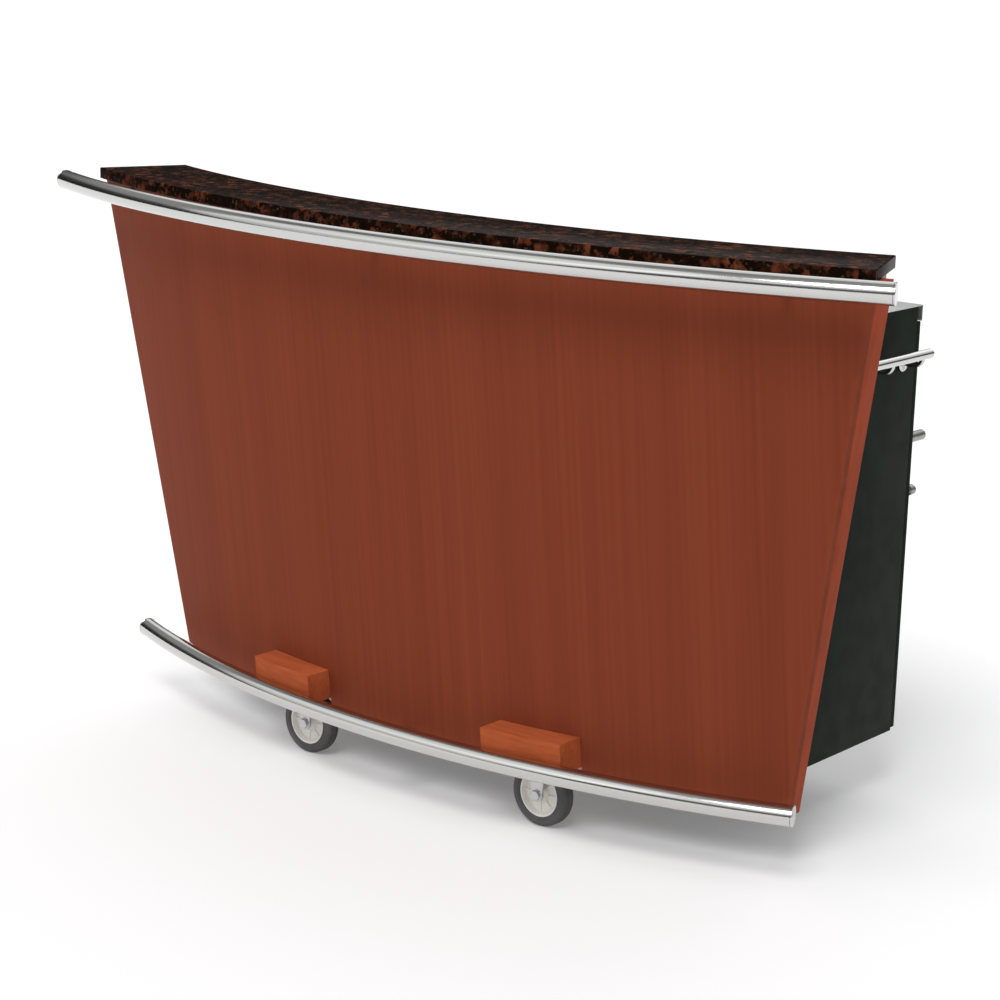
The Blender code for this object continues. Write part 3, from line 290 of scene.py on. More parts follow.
def wood(name, dark, light, turn=(0.0, 0.0, 0.0), **figure):
    """A lacquered wood whose grain runs along Z, or along the axis that the turn brings there."""
    made, tree, shader = start_material(name, Specular_IOR_Level=0.1, IOR=1.2)
    vector = object_vector(tree, turn=turn)
    grain = group_node(tree, GRAIN, {"Vector": vector, "Dark": (*dark, 1.0), "Light": (*light, 1.0), **figure})
    wear = group_node(tree, WEAR, {"Vector": object_vector(tree), "Edge": 0.35, "Scuffs": 0.12})
    paler = tuple(min(1.0, c * 1.5) for c in light)
    colour = tree.blend(wear.outputs["Edges"], grain.outputs["Color"], (*paler, 1.0))
    roughness = tree.lerp(0.50, 0.62, wear.outputs["Scuffs"])
    tree.feed(shader, {"Base Color": colour, "Roughness": roughness})
    bump(tree, shader, grain.outputs["Height"], 0.0003, 0.35)
    return made


def plywood():
    """Birch plywood, whose flat sheets show their layers at each edge."""
    made, tree, shader = start_material("birch_ply", Specular_IOR_Level=0.2)
    figure = {"Vector": object_vector(tree, turn=(0.0, QUARTER, 0.0)), "Dark": (0.36, 0.24, 0.13, 1.0),
              "Light": (0.60, 0.44, 0.27, 1.0), "Pores": 0.2}
    grain = group_node(tree, GRAIN, figure)
    height = tree.axes(object_vector(tree))["Z"]
    step = tree.calc("FRACT", tree.calc("DIVIDE", height, 2 * PLY_T))
    layer = tree.calc("GREATER_THAN", step, 0.5)
    line = tree.calc("LESS_THAN", tree.calc("ABSOLUTE", tree.calc("SUBTRACT", step, 0.5)), 0.05)
    upward = tree.axes(tree.add("ShaderNodeNewGeometry").outputs["Normal"])["Z"]
    sideways = tree.calc("LESS_THAN", tree.calc("ABSOLUTE", upward), 0.5)
    darker = tree.blend(tree.calc("MULTIPLY", layer, 0.45), grain.outputs["Color"], (0.24, 0.14, 0.07, 1.0))
    darker = tree.blend(line, darker, (0.09, 0.045, 0.025, 1.0))
    colour = tree.blend(sideways, grain.outputs["Color"], darker)
    tree.feed(shader, {"Base Color": colour, "Roughness": 0.7})
    bump(tree, shader, grain.outputs["Height"], 0.0003, 0.3)
    return made


def steel(name, colour, drawn, smooth, rough, fineness=900.0, metallic=1.0):
    """Bare steel, brushed along the axis that drawn keeps short."""
    made, tree, shader = start_material(name, Metallic=metallic)
    vector = object_vector(tree, scale=drawn)
    brush = group_node(tree, BRUSH, {"Vector": vector, "Fineness": fineness, "Smooth": smooth, "Rough": rough})
    wear = group_node(tree, WEAR, {"Vector": object_vector(tree), "Scuffs": 0.12, "Scuff Scale": 14.0})
    dull = tuple(c * 0.82 for c in colour)
    tint = tree.blend(wear.outputs["Scuffs"], (*colour, 1.0), (*dull, 1.0))
    tree.feed(shader, {"Base Color": tint, "Roughness": brush.outputs["Roughness"]})
    bump(tree, shader, brush.outputs["Height"], 0.00003, 0.2)
    return made


def granite():
    """Polished brown granite: rust crystals and paler flecks in a near-black ground."""
    made, tree, shader = start_material("granite", Specular_IOR_Level=0.015, IOR=1.2)
    vector = object_vector(tree)
    warp = tree.add("ShaderNodeTexNoise", {"Vector": vector, "Scale": 90.0, "Detail": 3.0})
    bent = tree.add("ShaderNodeVectorMath", {0: warp.outputs["Color"], 1: (0.010, 0.010, 0.010)}, operation="MULTIPLY")
    moved = tree.add("ShaderNodeVectorMath", {0: vector, 1: bent.outputs["Vector"]}, operation="ADD").outputs["Vector"]
    cells = tree.add("ShaderNodeTexVoronoi", {"Vector": moved, "Scale": 62.0})
    pick = tree.add("ShaderNodeSeparateColor", {"Color": cells.outputs["Color"]})
    patches = tree.noise(vector, 16.0, Detail=3.0)
    rust = tree.calc("MULTIPLY", tree.spread(pick.outputs["Red"], 0.45, 0.85),
                     tree.spread(patches, 0.38, 0.62, 0.25, 1.0))
    rust = tree.calc("MULTIPLY", rust, tree.spread(cells.outputs["Distance"], 0.30, 0.75, 1.0, 0.15))
    colour = tree.blend(rust, (0.0075, 0.0034, 0.0020, 1.0), (0.140, 0.037, 0.016, 1.0))
    flecks = tree.add("ShaderNodeTexVoronoi", {"Vector": moved, "Scale": 210.0})
    grey = tree.add("ShaderNodeSeparateColor", {"Color": flecks.outputs["Color"]}).outputs["Green"]
    colour = tree.blend(tree.spread(grey, 0.86, 0.97, 0.0, 0.55), colour, (0.075, 0.045, 0.030, 1.0))
    colour = tree.blend(tree.spread(grey, 0.22, 0.10, 0.0, 0.8), colour, (0.004, 0.003, 0.003, 1.0))
    roughness = tree.spread(patches, 0.3, 0.7, 0.16, 0.24)
    tree.feed(shader, {"Base Color": colour, "Roughness": roughness})
    bump(tree, shader, grey, 0.00004, 0.2)
    return made


def laminate(name, colour):
    """Board faced with a finely pebbled sheet, rubbed at its edges."""
    made, tree, shader = start_material(name, Specular_IOR_Level=0.1, IOR=1.2)
    vector = object_vector(tree)
    wear = group_node(tree, WEAR, {"Vector": vector, "Edge": 0.5, "Scuffs": 0.35})
    darker, paler, rubbed = ((*(c * by for c in colour), 1.0) for by in (0.75, 1.25, 3.0))
    shade = tree.blend(tree.spread(tree.noise(vector, 3.0, Detail=5.0), 0.35, 0.65), darker, paler)
    shade = tree.blend(wear.outputs["Edges"], shade, rubbed)
    shade = tree.blend(tree.calc("MULTIPLY", wear.outputs["Dust"], 0.12), shade, (0.16, 0.15, 0.13, 1.0))
    roughness = tree.lerp(0.42, 0.58, wear.outputs["Scuffs"])
    tree.feed(shader, {"Base Color": shade, "Roughness": roughness})
    bump(tree, shader, tree.noise(vector, 1400.0, Detail=2.0), 0.0001, 0.4)
    return made


def moulded(name, colour, rough, dusty, scale):
    """Moulded rubber or plastic with a faint flow texture and dust."""
    made, tree, shader = start_material(name, Specular_IOR_Level=0.4)
    vector = object_vector(tree)
    skin = tree.noise(vector, scale, Detail=4.0)
    wear = group_node(tree, WEAR, {"Vector": vector, "Edge": 0.3, "Scuffs": 0.4, "Scuff Scale": 60.0})
    paler = tuple(min(1.0, c * 1.6) for c in colour)
    shade = tree.blend(tree.calc("MULTIPLY", skin, 0.35), (*colour, 1.0), (*paler, 1.0))
    shade = tree.blend(tree.calc("MULTIPLY", wear.outputs["Dust"], dusty), shade, (0.34, 0.32, 0.29, 1.0))
    roughness = tree.lerp(rough, rough + 0.18, wear.outputs["Scuffs"])
    tree.feed(shader, {"Base Color": shade, "Roughness": roughness})
    bump(tree, shader, skin, 0.0002, 0.3)
    return made


CHERRY_DARK, CHERRY_LIGHT = (0.164, 0.0350, 0.0160), (0.209, 0.0467, 0.0219)
EDGE_DARK, EDGE_LIGHT = (0.262, 0.050, 0.022), (0.362, 0.073, 0.034)
FINISH = {
    "cherry": wood("cherry_veneer", CHERRY_DARK, CHERRY_LIGHT, Depth=0.0),
    "edge_wood": wood("cherry_edge", EDGE_DARK, EDGE_LIGHT, Streaks=55.0),
    "block_wood": wood("cherry_block", (0.270, 0.058, 0.020), (0.420, 0.098, 0.036), (0.0, QUARTER, 0.0)),
    "plywood": plywood(),
    "granite": granite(),
    "rail_steel": steel("polished_steel", (0.60, 0.60, 0.58), (1.0, 0.06, 1.0), 0.10, 0.20),
    "knob_steel": steel("satin_steel", (0.30, 0.30, 0.29), (1.0, 1.0, 1.0), 0.26, 0.40),
    "sheet_steel": steel("brushed_sheet", (0.64, 0.64, 0.635), (0.02, 1.0, 1.0), 0.28, 0.44, metallic=0.88),
    "zinc": steel("bright_zinc", (0.58, 0.59, 0.60), (1.0, 1.0, 1.0), 0.24, 0.44, fineness=160.0),
    "laminate": laminate("black_laminate", (0.0072, 0.0105, 0.0070)),
    "rubber": moulded("grey_rubber", (0.052, 0.053, 0.058), 0.62, 0.35, 240.0),
    "nylon": moulded("pale_nylon", (0.80, 0.78, 0.72), 0.34, 0.15, 90.0),
}


# Making and placing meshes

def new_object(name, mesh):
    obj = bpy.data.objects.new(name, mesh)
    bpy.context.scene.collection.objects.link(obj)
    return obj


def plain_mesh(obj):
    """What the object's modifiers make, as a new mesh; the object is removed."""
    bpy.context.view_layer.update()
    graph = bpy.context.evaluated_depsgraph_get()
    mesh = bpy.data.meshes.new_from_object(obj.evaluated_get(graph))
    mesh.transform(obj.matrix_world)
    bpy.data.objects.remove(obj)
    return mesh


def finish_piece(name, mesh, body, finish, *nodes, angle=32):
    """Puts a plain mesh on its body, in its finish, in place of the CAD nodes it stands for."""
    mesh.shade_smooth()
    mesh.set_sharp_from_angle(angle=math.radians(angle))
    mesh.materials.clear()
    mesh.materials.append(FINISH[finish])
    obj = new_object(name, mesh)
    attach(obj, body)
    if nodes:
        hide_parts(*nodes)


def body_of(node):
    members = frame["record"]["behaviour"]["bodies"]
    return next(body for body, nodes in members.items() if node in nodes)


def stand_in(node, mesh, finish, angle=32):
    """A fine mesh in place of one CAD node, on that node's body."""
    finish_piece(node + "_fine", mesh, body_of(node), finish, node, angle=angle)


def mesh_of(bm):
    bmesh.ops.remove_doubles(bm, verts=bm.verts, dist=0.00002)
    bmesh.ops.recalc_face_normals(bm, faces=bm.faces)
    mesh = bpy.data.meshes.new("made")
    bm.to_mesh(mesh)
    bm.free()
    return mesh


def joined(*meshes):
    """Several meshes as one."""
    bm = bmesh.new()
    for mesh in meshes:
        bm.from_mesh(mesh)
        bpy.data.meshes.remove(mesh)
    mesh = bpy.data.meshes.new("joined")
    bm.to_mesh(mesh)
    bm.free()
    return mesh


def eased(mesh, width, segments=3, angle=30):
    """The mesh with its sharp edges rounded."""
    obj = new_object("eased", mesh)
    made = obj.modifiers.new("ease", "BEVEL")
    made.width = width
    made.segments = segments
    made.limit_method = "ANGLE"
    made.angle_limit = math.radians(angle)
    made.harden_normals = False
    return plain_mesh(obj)


def block(low, high, ease=0.0, segments=3):
    """A box mesh between two corners, with rounded edges where asked."""
    bm = bmesh.new()
    low, high = Vector(low), Vector(high)
    matrix = Matrix.Translation((low + high) / 2) @ Matrix.Diagonal((*(high - low), 1.0))
    bmesh.ops.create_cube(bm, size=1.0, matrix=matrix)
    mesh = mesh_of(bm)
    return eased(mesh, ease, segments) if ease else mesh


def facing(direction, origin):
    """A place whose own Z points along a direction."""
    return Matrix.Translation(origin) @ Vector(direction).to_track_quat("Z", "Y").to_matrix().to_4x4()


def revolved(profile, place, steps=64):
    """(radius, height) points turned about the place's Z."""
    bm = bmesh.new()
    points = [bm.verts.new((radius, 0.0, height)) for radius, height in profile]
    edges = [bm.edges.new(pair) for pair in zip(points, points[1:])]
    bmesh.ops.spin(bm, geom=points + edges, cent=(0, 0, 0), axis=(0, 0, 1), angle=math.tau, steps=steps)
    mesh = mesh_of(bm)
    mesh.transform(place)
    return mesh


def rod(radius, start, end, ease=0.0, steps=40):
    """A round bar or plate between two points, with eased rims."""
    start, end = Vector(start), Vector(end)
    length = (end - start).length
    profile = [(0.0, 0.0), (radius - ease, 0.0), (radius, ease), (radius, length - ease),
               (radius - ease, length), (0.0, length)]
    return revolved(profile, facing(end - start, start), steps)


def extruded(outline, low, high, ease):
    """An outline of (x, z) points drawn out from one y to another."""
    bm = bmesh.new()
    face = bm.faces.new([bm.verts.new((x, low, z)) for x, z in outline])
    made = bmesh.ops.extrude_face_region(bm, geom=[face])
    moved = [item for item in made["geom"] if isinstance(item, bmesh.types.BMVert)]
    bmesh.ops.translate(bm, verts=moved, vec=(0.0, high - low, 0.0))
    return eased(mesh_of(bm), ease)


def arc(centre, radius, start, stop, steps=8):
    """Points along part of a circle, with its angles in degrees."""
    angles = (math.radians(start + (stop - start) * i / steps) for i in range(steps + 1))
    return [(centre[0] + radius * math.cos(t), centre[1] + radius * math.sin(t)) for t in angles]


def upright(low, high, corner, ease):
    """A box whose upright edges have one radius and whose other edges have another."""
    bm = bmesh.new()
    bm.from_mesh(block(low, high))
    edges = [e for e in bm.edges if abs((e.verts[0].co - e.verts[1].co).normalized().z) > 0.9]
    bmesh.ops.bevel(bm, geom=edges, offset=corner, segments=6, profile=0.5, affect="EDGES")
    mesh = mesh_of(bm)
    return eased(mesh, ease, 3, 50) if ease else mesh


def cut_by(mesh, *cutters):
    """The mesh with the cutters' shapes taken out."""
    cutter = new_object("cutter", joined(*cutters))
    obj = new_object("cut", mesh)
    made = obj.modifiers.new("cut", "BOOLEAN")
    made.object = cutter
    made.solver = "EXACT"
    result = plain_mesh(obj)
    bpy.data.objects.remove(cutter)
    return result


def tube(points, radius):
    """A round bar along points, with closed ends."""
    curve = bpy.data.curves.new("tube", "CURVE")
    curve.dimensions = "3D"
    curve.bevel_depth = radius
    curve.bevel_resolution = 6
    curve.use_fill_caps = True
    spline = curve.splines.new("POLY")
    spline.points.add(len(points) - 1)
    for point, at in zip(spline.points, points):
        point.co = (*at, 1.0)
    bm = bmesh.new()
    bm.from_mesh(plain_mesh(new_object("tube", curve)))
    return mesh_of(bm)


def cad_copy(node):
    """A CAD node's mesh with its loose triangles merged into whole faces."""
    bm = bmesh.new()
    bm.from_mesh(frame["nodes"][node].data)
    bmesh.ops.remove_doubles(bm, verts=bm.verts, dist=0.00003)
    bmesh.ops.dissolve_limit(bm, angle_limit=math.radians(0.5), verts=bm.verts, edges=bm.edges)
    mesh = bpy.data.meshes.new(node)
    bm.to_mesh(mesh)
    bm.free()
    return mesh


def refined(node, finish, ease, segments=3):
    """A CAD node's own shape with rounded edges and a finish."""
    stand_in(node, eased(cad_copy(node), ease, segments), finish, 50)


# Geometry Nodes: main pieces that follow a rule

def run_tree(name, group, values, base=None):
    """The plain mesh that a geometry tree makes with the given named values."""
    obj = new_object(name, base or bpy.data.meshes.new(name))
    modifier = obj.modifiers.new(name, "NODES")
    modifier.node_group = group
    for item in group.interface.items_tree:
        if item.in_out == "INPUT" and item.name in values:
            modifier[item.identifier] = values[item.name]
    return plain_mesh(obj)


def geometry_group(name, sizes, more=()):
    """A geometry tree's Tree, inputs and output node; each size is a count or a length, as its default is."""
    inputs = [(key, INTEGER if isinstance(value, int) else FLOAT, value) for key, value in sizes.items()]
    inputs = [("Geometry", GEOMETRY, None), *inputs, *more, ("Material", MATERIAL, None)]
    return new_group(name, "GeometryNodeTree", inputs, [("Geometry", GEOMETRY)])


def end_tree(tree, out, geometry, material):
    """Realize Instances and Set Material, as every tree here ends; returns the finished group."""
    real = tree.add("GeometryNodeRealizeInstances", {"Geometry": geometry})
    painted = tree.add("GeometryNodeSetMaterial", {"Geometry": real.outputs["Geometry"], "Material": material})
    tree.feed(out, {"Geometry": painted.outputs["Geometry"]})
    return tree.tree


def unit_grid(tree, columns, rows):
    """A cube from -0.5 to 0.5, cut into columns and rows, and its points' axes."""
    cube = tree.add("GeometryNodeMeshCube", {"Vertices X": columns, "Vertices Y": 2, "Vertices Z": rows})
    return cube.outputs["Mesh"], tree.axes(tree.add("GeometryNodeInputPosition").outputs["Position"])


def set_at(tree, mesh, **axes):
    inputs = {"Geometry": mesh, "Position": tree.vector(**axes)}
    return tree.add("GeometryNodeSetPosition", inputs).outputs["Geometry"]


def shifted(tree, geometry, **axes):
    inputs = {"Geometry": geometry, "Translation": tree.vector(**axes)}
    return tree.add("GeometryNodeTransform", inputs).outputs["Geometry"]


def flared_sheet_tree():
    """A sheet ruled between two arcs of unlike radius, from the top rail's level to the foot rail's."""
    sizes = {"Columns": 160, "Rows": 24, "Front Depth": 0.0, "Rear Depth": 0.01, "Low": 0.0, "High": 1.0,
             "Inset": 0.0, "Taper": 0.0}
    tree, give, out = geometry_group("Flared Sheet", sizes)
    cube, unit = unit_grid(tree, give["Columns"], give["Rows"])
    z = tree.lerp(give["Low"], give["High"], tree.calc("ADD", unit["Z"], 0.5))
    down = tree.spread(z, TOP_RAIL_Z, FOOT_RAIL_Z, clamp=False)
    share = tree.calc("DIVIDE", tree.calc("SUBTRACT", z, WALL_LOW_Z), WALL_TOP_Z - WALL_LOW_Z)
    half = tree.calc("SUBTRACT", tree.lerp(WALL_HALF_LOW, WALL_HALF_TOP, share), give["Inset"])
    x = tree.calc("MULTIPLY", tree.calc("MULTIPLY", unit["X"], 2.0), half)
    depth = tree.lerp(give["Front Depth"], give["Rear Depth"], tree.calc("ADD", unit["Y"], 0.5))
    depth = tree.calc("SUBTRACT", depth, tree.calc("MULTIPLY", give["Taper"], down))
    radius = tree.lerp(TOP_RAIL_PLAN_R, FOOT_RAIL_PLAN_R, down)
    behind = tree.calc("ADD", tree.lerp(FACE_BEHIND_TOP, FACE_BEHIND_FOOT, down), depth)
    inner = tree.calc("SUBTRACT", radius, behind)
    reach = tree.calc("SQRT", tree.calc("SUBTRACT", tree.calc("POWER", inner, 2.0), tree.calc("POWER", x, 2.0)))
    set_back = tree.calc("MULTIPLY_ADD", down, FOOT_SET_BACK, FRONT_Y)
    y = tree.calc("SUBTRACT", tree.calc("ADD", set_back, radius), reach)
    return end_tree(tree, out, set_at(tree, cube, X=x, Y=y, Z=z), give["Material"])


def curved_slab_tree():
    """A slab bent to two arcs about one centre, with its ends square to them."""
    sizes = {"Columns": 160, "Front Radius": 1.0, "Rear Radius": 1.0, "Half Angle": 0.1, "Centre Y": 0.0,
             "Low": 0.0, "High": 1.0}
    tree, give, out = geometry_group("Curved Slab", sizes)
    cube, unit = unit_grid(tree, give["Columns"], 2)
    angle = tree.calc("MULTIPLY", tree.calc("MULTIPLY", unit["X"], 2.0), give["Half Angle"])
    radius = tree.lerp(give["Front Radius"], give["Rear Radius"], tree.calc("ADD", unit["Y"], 0.5))
    x = tree.calc("MULTIPLY", radius, tree.calc("SINE", angle))
    y = tree.calc("SUBTRACT", give["Centre Y"], tree.calc("MULTIPLY", radius, tree.calc("COSINE", angle)))
    z = tree.lerp(give["Low"], give["High"], tree.calc("ADD", unit["Z"], 0.5))
    return end_tree(tree, out, set_at(tree, cube, X=x, Y=y, Z=z), give["Material"])


def bent_rail_tree():
    """A round tube swept along an arc in plan."""
    sizes = {"Plan Radius": 1.0, "Half Angle": 0.1, "Tube Radius": 0.01, "Centre Y": 0.0, "Height": 0.0,
             "Segments": 160, "Sides": 48}
    tree, give, out = geometry_group("Bent Rail", sizes)
    inputs = {"Resolution": give["Segments"], "Radius": give["Plan Radius"],
              "Start Angle": tree.calc("SUBTRACT", -QUARTER, give["Half Angle"]),
              "Sweep Angle": tree.calc("MULTIPLY", give["Half Angle"], 2.0)}
    bend = tree.add("GeometryNodeCurveArc", inputs, mode="RADIUS").outputs["Curve"]
    ring = tree.add("GeometryNodeCurvePrimitiveCircle", {"Resolution": give["Sides"], "Radius": give["Tube Radius"]})
    inputs = {"Curve": shifted(tree, bend, Y=give["Centre Y"], Z=give["Height"]),
              "Profile Curve": ring.outputs["Curve"], "Fill Caps": True}
    swept = tree.add("GeometryNodeCurveToMesh", inputs)
    return end_tree(tree, out, swept.outputs["Mesh"], give["Material"])


def ring_tree():
    """Bars set round an axis like spokes."""
    sizes = {"Count": 8, "Inner Radius": 0.01, "Outer Radius": 0.02, "Thickness": 0.002, "Height": 0.01}
    tree, give, out = geometry_group("Ring Of Ribs", sizes)
    length = tree.calc("SUBTRACT", give["Outer Radius"], give["Inner Radius"])
    middle = tree.calc("MULTIPLY", tree.calc("ADD", give["Outer Radius"], give["Inner Radius"]), 0.5)
    size = tree.vector(X=length, Y=give["Thickness"], Z=give["Height"])
    rib = tree.add("GeometryNodeMeshCube", {"Size": size}).outputs["Mesh"]
    line = tree.add("GeometryNodeMeshLine", {"Count": give["Count"], "Offset": (0.0, 0.0, 0.0)})
    index = tree.add("GeometryNodeInputIndex").outputs["Index"]
    turn = tree.calc("MULTIPLY", index, tree.calc("DIVIDE", math.tau, give["Count"]))
    inputs = {"Points": line.outputs["Mesh"], "Instance": shifted(tree, rib, X=middle),
              "Rotation": tree.vector(Z=turn)}
    ring = tree.add("GeometryNodeInstanceOnPoints", inputs)
    return end_tree(tree, out, ring.outputs["Instances"], give["Material"])


def fixings_tree():
    """A screw or bolt head on each given point, facing one way, with a crossed slot where asked."""
    more = [("Crossed", "NodeSocketBool", True), ("Outward", VECTOR, None)]
    tree, give, out = geometry_group("Fixings", {"Radius": 0.004, "Height": 0.002, "Sides": 28}, more)
    inputs = {"Vertices": give["Sides"], "Side Segments": 2, "Radius": give["Radius"], "Depth": give["Height"]}
    straight = tree.add("GeometryNodeMeshCylinder", inputs).outputs
    inputs = {"Geometry": straight["Mesh"], "Selection": straight["Top"], "Scale": 0.72}
    domed = tree.add("GeometryNodeScaleElements", inputs).outputs["Geometry"]
    head = shifted(tree, domed, Z=tree.calc("MULTIPLY", give["Height"], 0.5))
    cut = tree.add("GeometryNodeMeshBoolean", {"Mesh 1": head}, operation="DIFFERENCE")
    long, thin = tree.calc("MULTIPLY", give["Radius"], 1.05), tree.calc("MULTIPLY", give["Radius"], 0.24)
    # The two slots differ a little in depth, so that no two of their faces share a plane.
    for x, y, share in ((long, thin, 1.0), (thin, long, 0.94)):
        size = tree.vector(X=x, Y=y, Z=tree.calc("MULTIPLY", give["Height"], share))
        slot = tree.add("GeometryNodeMeshCube", {"Size": size}).outputs["Mesh"]
        tree.feed(cut, {"Mesh 2": shifted(tree, slot, Z=give["Height"])})
    inputs = {"Switch": give["Crossed"], "False": head, "True": cut.outputs["Mesh"]}
    pick = tree.add("GeometryNodeSwitch", inputs, input_type="GEOMETRY").outputs["Output"]
    face = tree.add("FunctionNodeAlignRotationToVector", {"Vector": give["Outward"]}, axis="Z").outputs["Rotation"]
    placed = tree.add("GeometryNodeInstanceOnPoints", {"Points": give["Geometry"], "Instance": pick, "Rotation": face})
    return end_tree(tree, out, placed.outputs["Instances"], give["Material"])


FLARED_SHEET = flared_sheet_tree()
CURVED_SLAB = curved_slab_tree()
BENT_RAIL = bent_rail_tree()
RING_OF_RIBS = ring_tree()
FIXINGS = fixings_tree()


def fixings(name, body, points, outward, radius=0.0042, height=0.0016, crossed=True):
    """Screw heads, or six-sided bolt heads where not crossed, all facing one way."""
    base = bpy.data.meshes.new(name)
    base.from_pydata([tuple(point) for point in points], [], [])
    values = {"Radius": radius, "Height": height, "Sides": 28 if crossed else 6, "Crossed": crossed,
              "Outward": tuple(outward), "Material": FINISH["zinc"]}
    finish_piece(name, run_tree(name, FIXINGS, values, base), body, "zinc", angle=25)


def block_notches():
    """Where the two wooden blocks pass under the wall."""
    notches = []
    for word in ("left", "right"):
        low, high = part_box("caster_block_" + word)
        start = (low.x - WALL_GAP, low.y - 0.1, low.z - 0.05)
        notches.append(block(start, (high.x + WALL_GAP, high.y, high.z + WALL_GAP)))
    return notches


def make_wall():
    sheets = (
        ("front_panel", "cherry", 0.0, SKIN_T, 0.0, 0.0),
        ("panel_back", "laminate", WALL_T - BACK_SKIN_T, WALL_T, END_BOARD_T + WALL_GAP, WALL_TAPER),
    )
    for node, finish, front, rear, inset, taper in sheets:
        low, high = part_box(node)
        values = {"Front Depth": front, "Rear Depth": rear, "Low": low.z, "High": high.z,
                  "Inset": inset, "Taper": taper, "Material": FINISH[finish]}
        stand_in(node, cut_by(run_tree(node, FLARED_SHEET, values), *block_notches()), finish)
    for node in ("panel_rib_low", "panel_rib_top"):
        refined(node, "plywood", 0.0008)
    for node in ("panel_end_left", "panel_end_right"):
        refined(node, "edge_wood", 0.0012)


def make_top():
    face_y = FRONT_Y + FACE_BEHIND_TOP
    centre_y = face_y - STONE_OVERHANG + STONE_PLAN_R
    low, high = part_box("bar_top")
    values = {"Front Radius": STONE_PLAN_R, "Rear Radius": STONE_PLAN_R - STONE_DEPTH, "Half Angle": STONE_ANGLE,
              "Centre Y": centre_y, "Low": low.z, "High": high.z, "Material": FINISH["granite"]}
    stand_in("bar_top", eased(run_tree("stone", CURVED_SLAB, values), STONE_EASE, 4), "granite")
    refined("sub_top", "plywood", 0.0008)


def make_rails():
    rails = (
        ("top_rail", TOP_RAIL_PLAN_R, 0.0, TOP_RAIL_Z, TOP_RAIL_ANGLE),
        ("foot_rail", FOOT_RAIL_PLAN_R, FOOT_SET_BACK, FOOT_RAIL_Z, FOOT_RAIL_ANGLE),
    )
    for node, radius, set_back, z, half_angle in rails:
        centre_y = FRONT_Y + set_back + radius
        inner = half_angle - RAIL_CAP_T / radius
        values = {"Plan Radius": radius, "Half Angle": inner, "Tube Radius": RAIL_R, "Centre Y": centre_y,
                  "Height": z, "Material": FINISH["rail_steel"]}
        meshes = [run_tree(node, BENT_RAIL, values)]
        for side, _ in SIDES:
            t = side * inner
            end = Vector((radius * math.sin(t), centre_y - radius * math.cos(t), z))
            out = Vector((math.cos(t), math.sin(t), 0.0)) * side
            meshes.append(rod(RAIL_R + 0.0005, end, end + out * RAIL_CAP_T, 0.0012))
        stand_in(node, joined(*meshes), "rail_steel")


def on_surface(node, start, direction):
    """Where a straight line first meets a CAD node, and the way that its face looks there."""
    bm = bmesh.new()
    bm.from_mesh(frame["nodes"][node].data)
    spot, normal, _, _ = BVHTree.FromBMesh(bm).ray_cast(Vector(start), Vector(direction))
    bm.free()
    return spot, normal


# The working cabinet

def make_cabinet():
    boards = ["cabinet_base", "kick_board"]
    for _, word in SIDES:
        boards += ["cabinet_side_" + word, "divider_" + word, "shelf_" + word]
    for node in boards:
        refined(node, "laminate", 0.0009, 2)
    refined("work_deck", "sheet_steel", 0.0005, 2)
    low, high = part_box("kick_board")
    shares = (0.04, 0.27, 0.5, 0.73, 0.96)
    points = [(low.x + (high.x - low.x) * share, high.y, (low.z + high.z) / 2) for share in shares]
    fixings("kick_board_screws", "bar", points, (0, 1, 0), 0.0038, 0.0008)
    low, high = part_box("work_deck")
    fold_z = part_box("door_left")[1].z + 0.0030
    hem = block((low.x, high.y - 0.0024, fold_z - 0.0020), (high.x, high.y - 0.0002, fold_z + 0.0010), 0.0008)
    finish_piece("work_deck_hem", hem, "bar", "sheet_steel")


def make_bin():
    low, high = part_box("ice_bin")
    middle = (low + high) / 2
    left, front = low.x + BIN_RIM, low.y + BIN_RIM
    right, rear = high.x - BIN_RIM, high.y - BIN_RIM
    floor_z = low.z + BIN_WALL

    def hollow(ease):
        return upright((left + BIN_WALL, front + BIN_WALL, floor_z), (right - BIN_WALL, rear - BIN_WALL, high.z + 0.05),
                       0.020, ease)

    shell = upright((left, front, low.z), (right, rear, high.z - 0.0005), 0.016, 0.0)
    rim = upright((low.x, low.y, high.z - 0.002), high, 0.012, 0.0006)
    bore = rod(0.008, (middle.x, middle.y, low.z - 0.01), (middle.x, middle.y, low.z + 0.05))
    body = joined(cut_by(shell, hollow(0.006), bore), cut_by(rim, hollow(0.0)))
    stand_in("ice_bin", body, "sheet_steel", 40)
    plate = rod(0.024, (middle.x, middle.y, floor_z + 0.0002), (middle.x, middle.y, floor_z + 0.0022), 0.0006)
    holes = []
    for radius, count in ((0.0, 1), (0.008, 6), (0.016, 12)):
        for i in range(count):
            x = middle.x + radius * math.cos(math.tau * i / count)
            y = middle.y + radius * math.sin(math.tau * i / count)
            holes.append(rod(0.0020, (x, y, floor_z - 0.01), (x, y, floor_z + 0.01), steps=16))
    finish_piece("strainer", cut_by(plate, *holes), "bar", "sheet_steel")


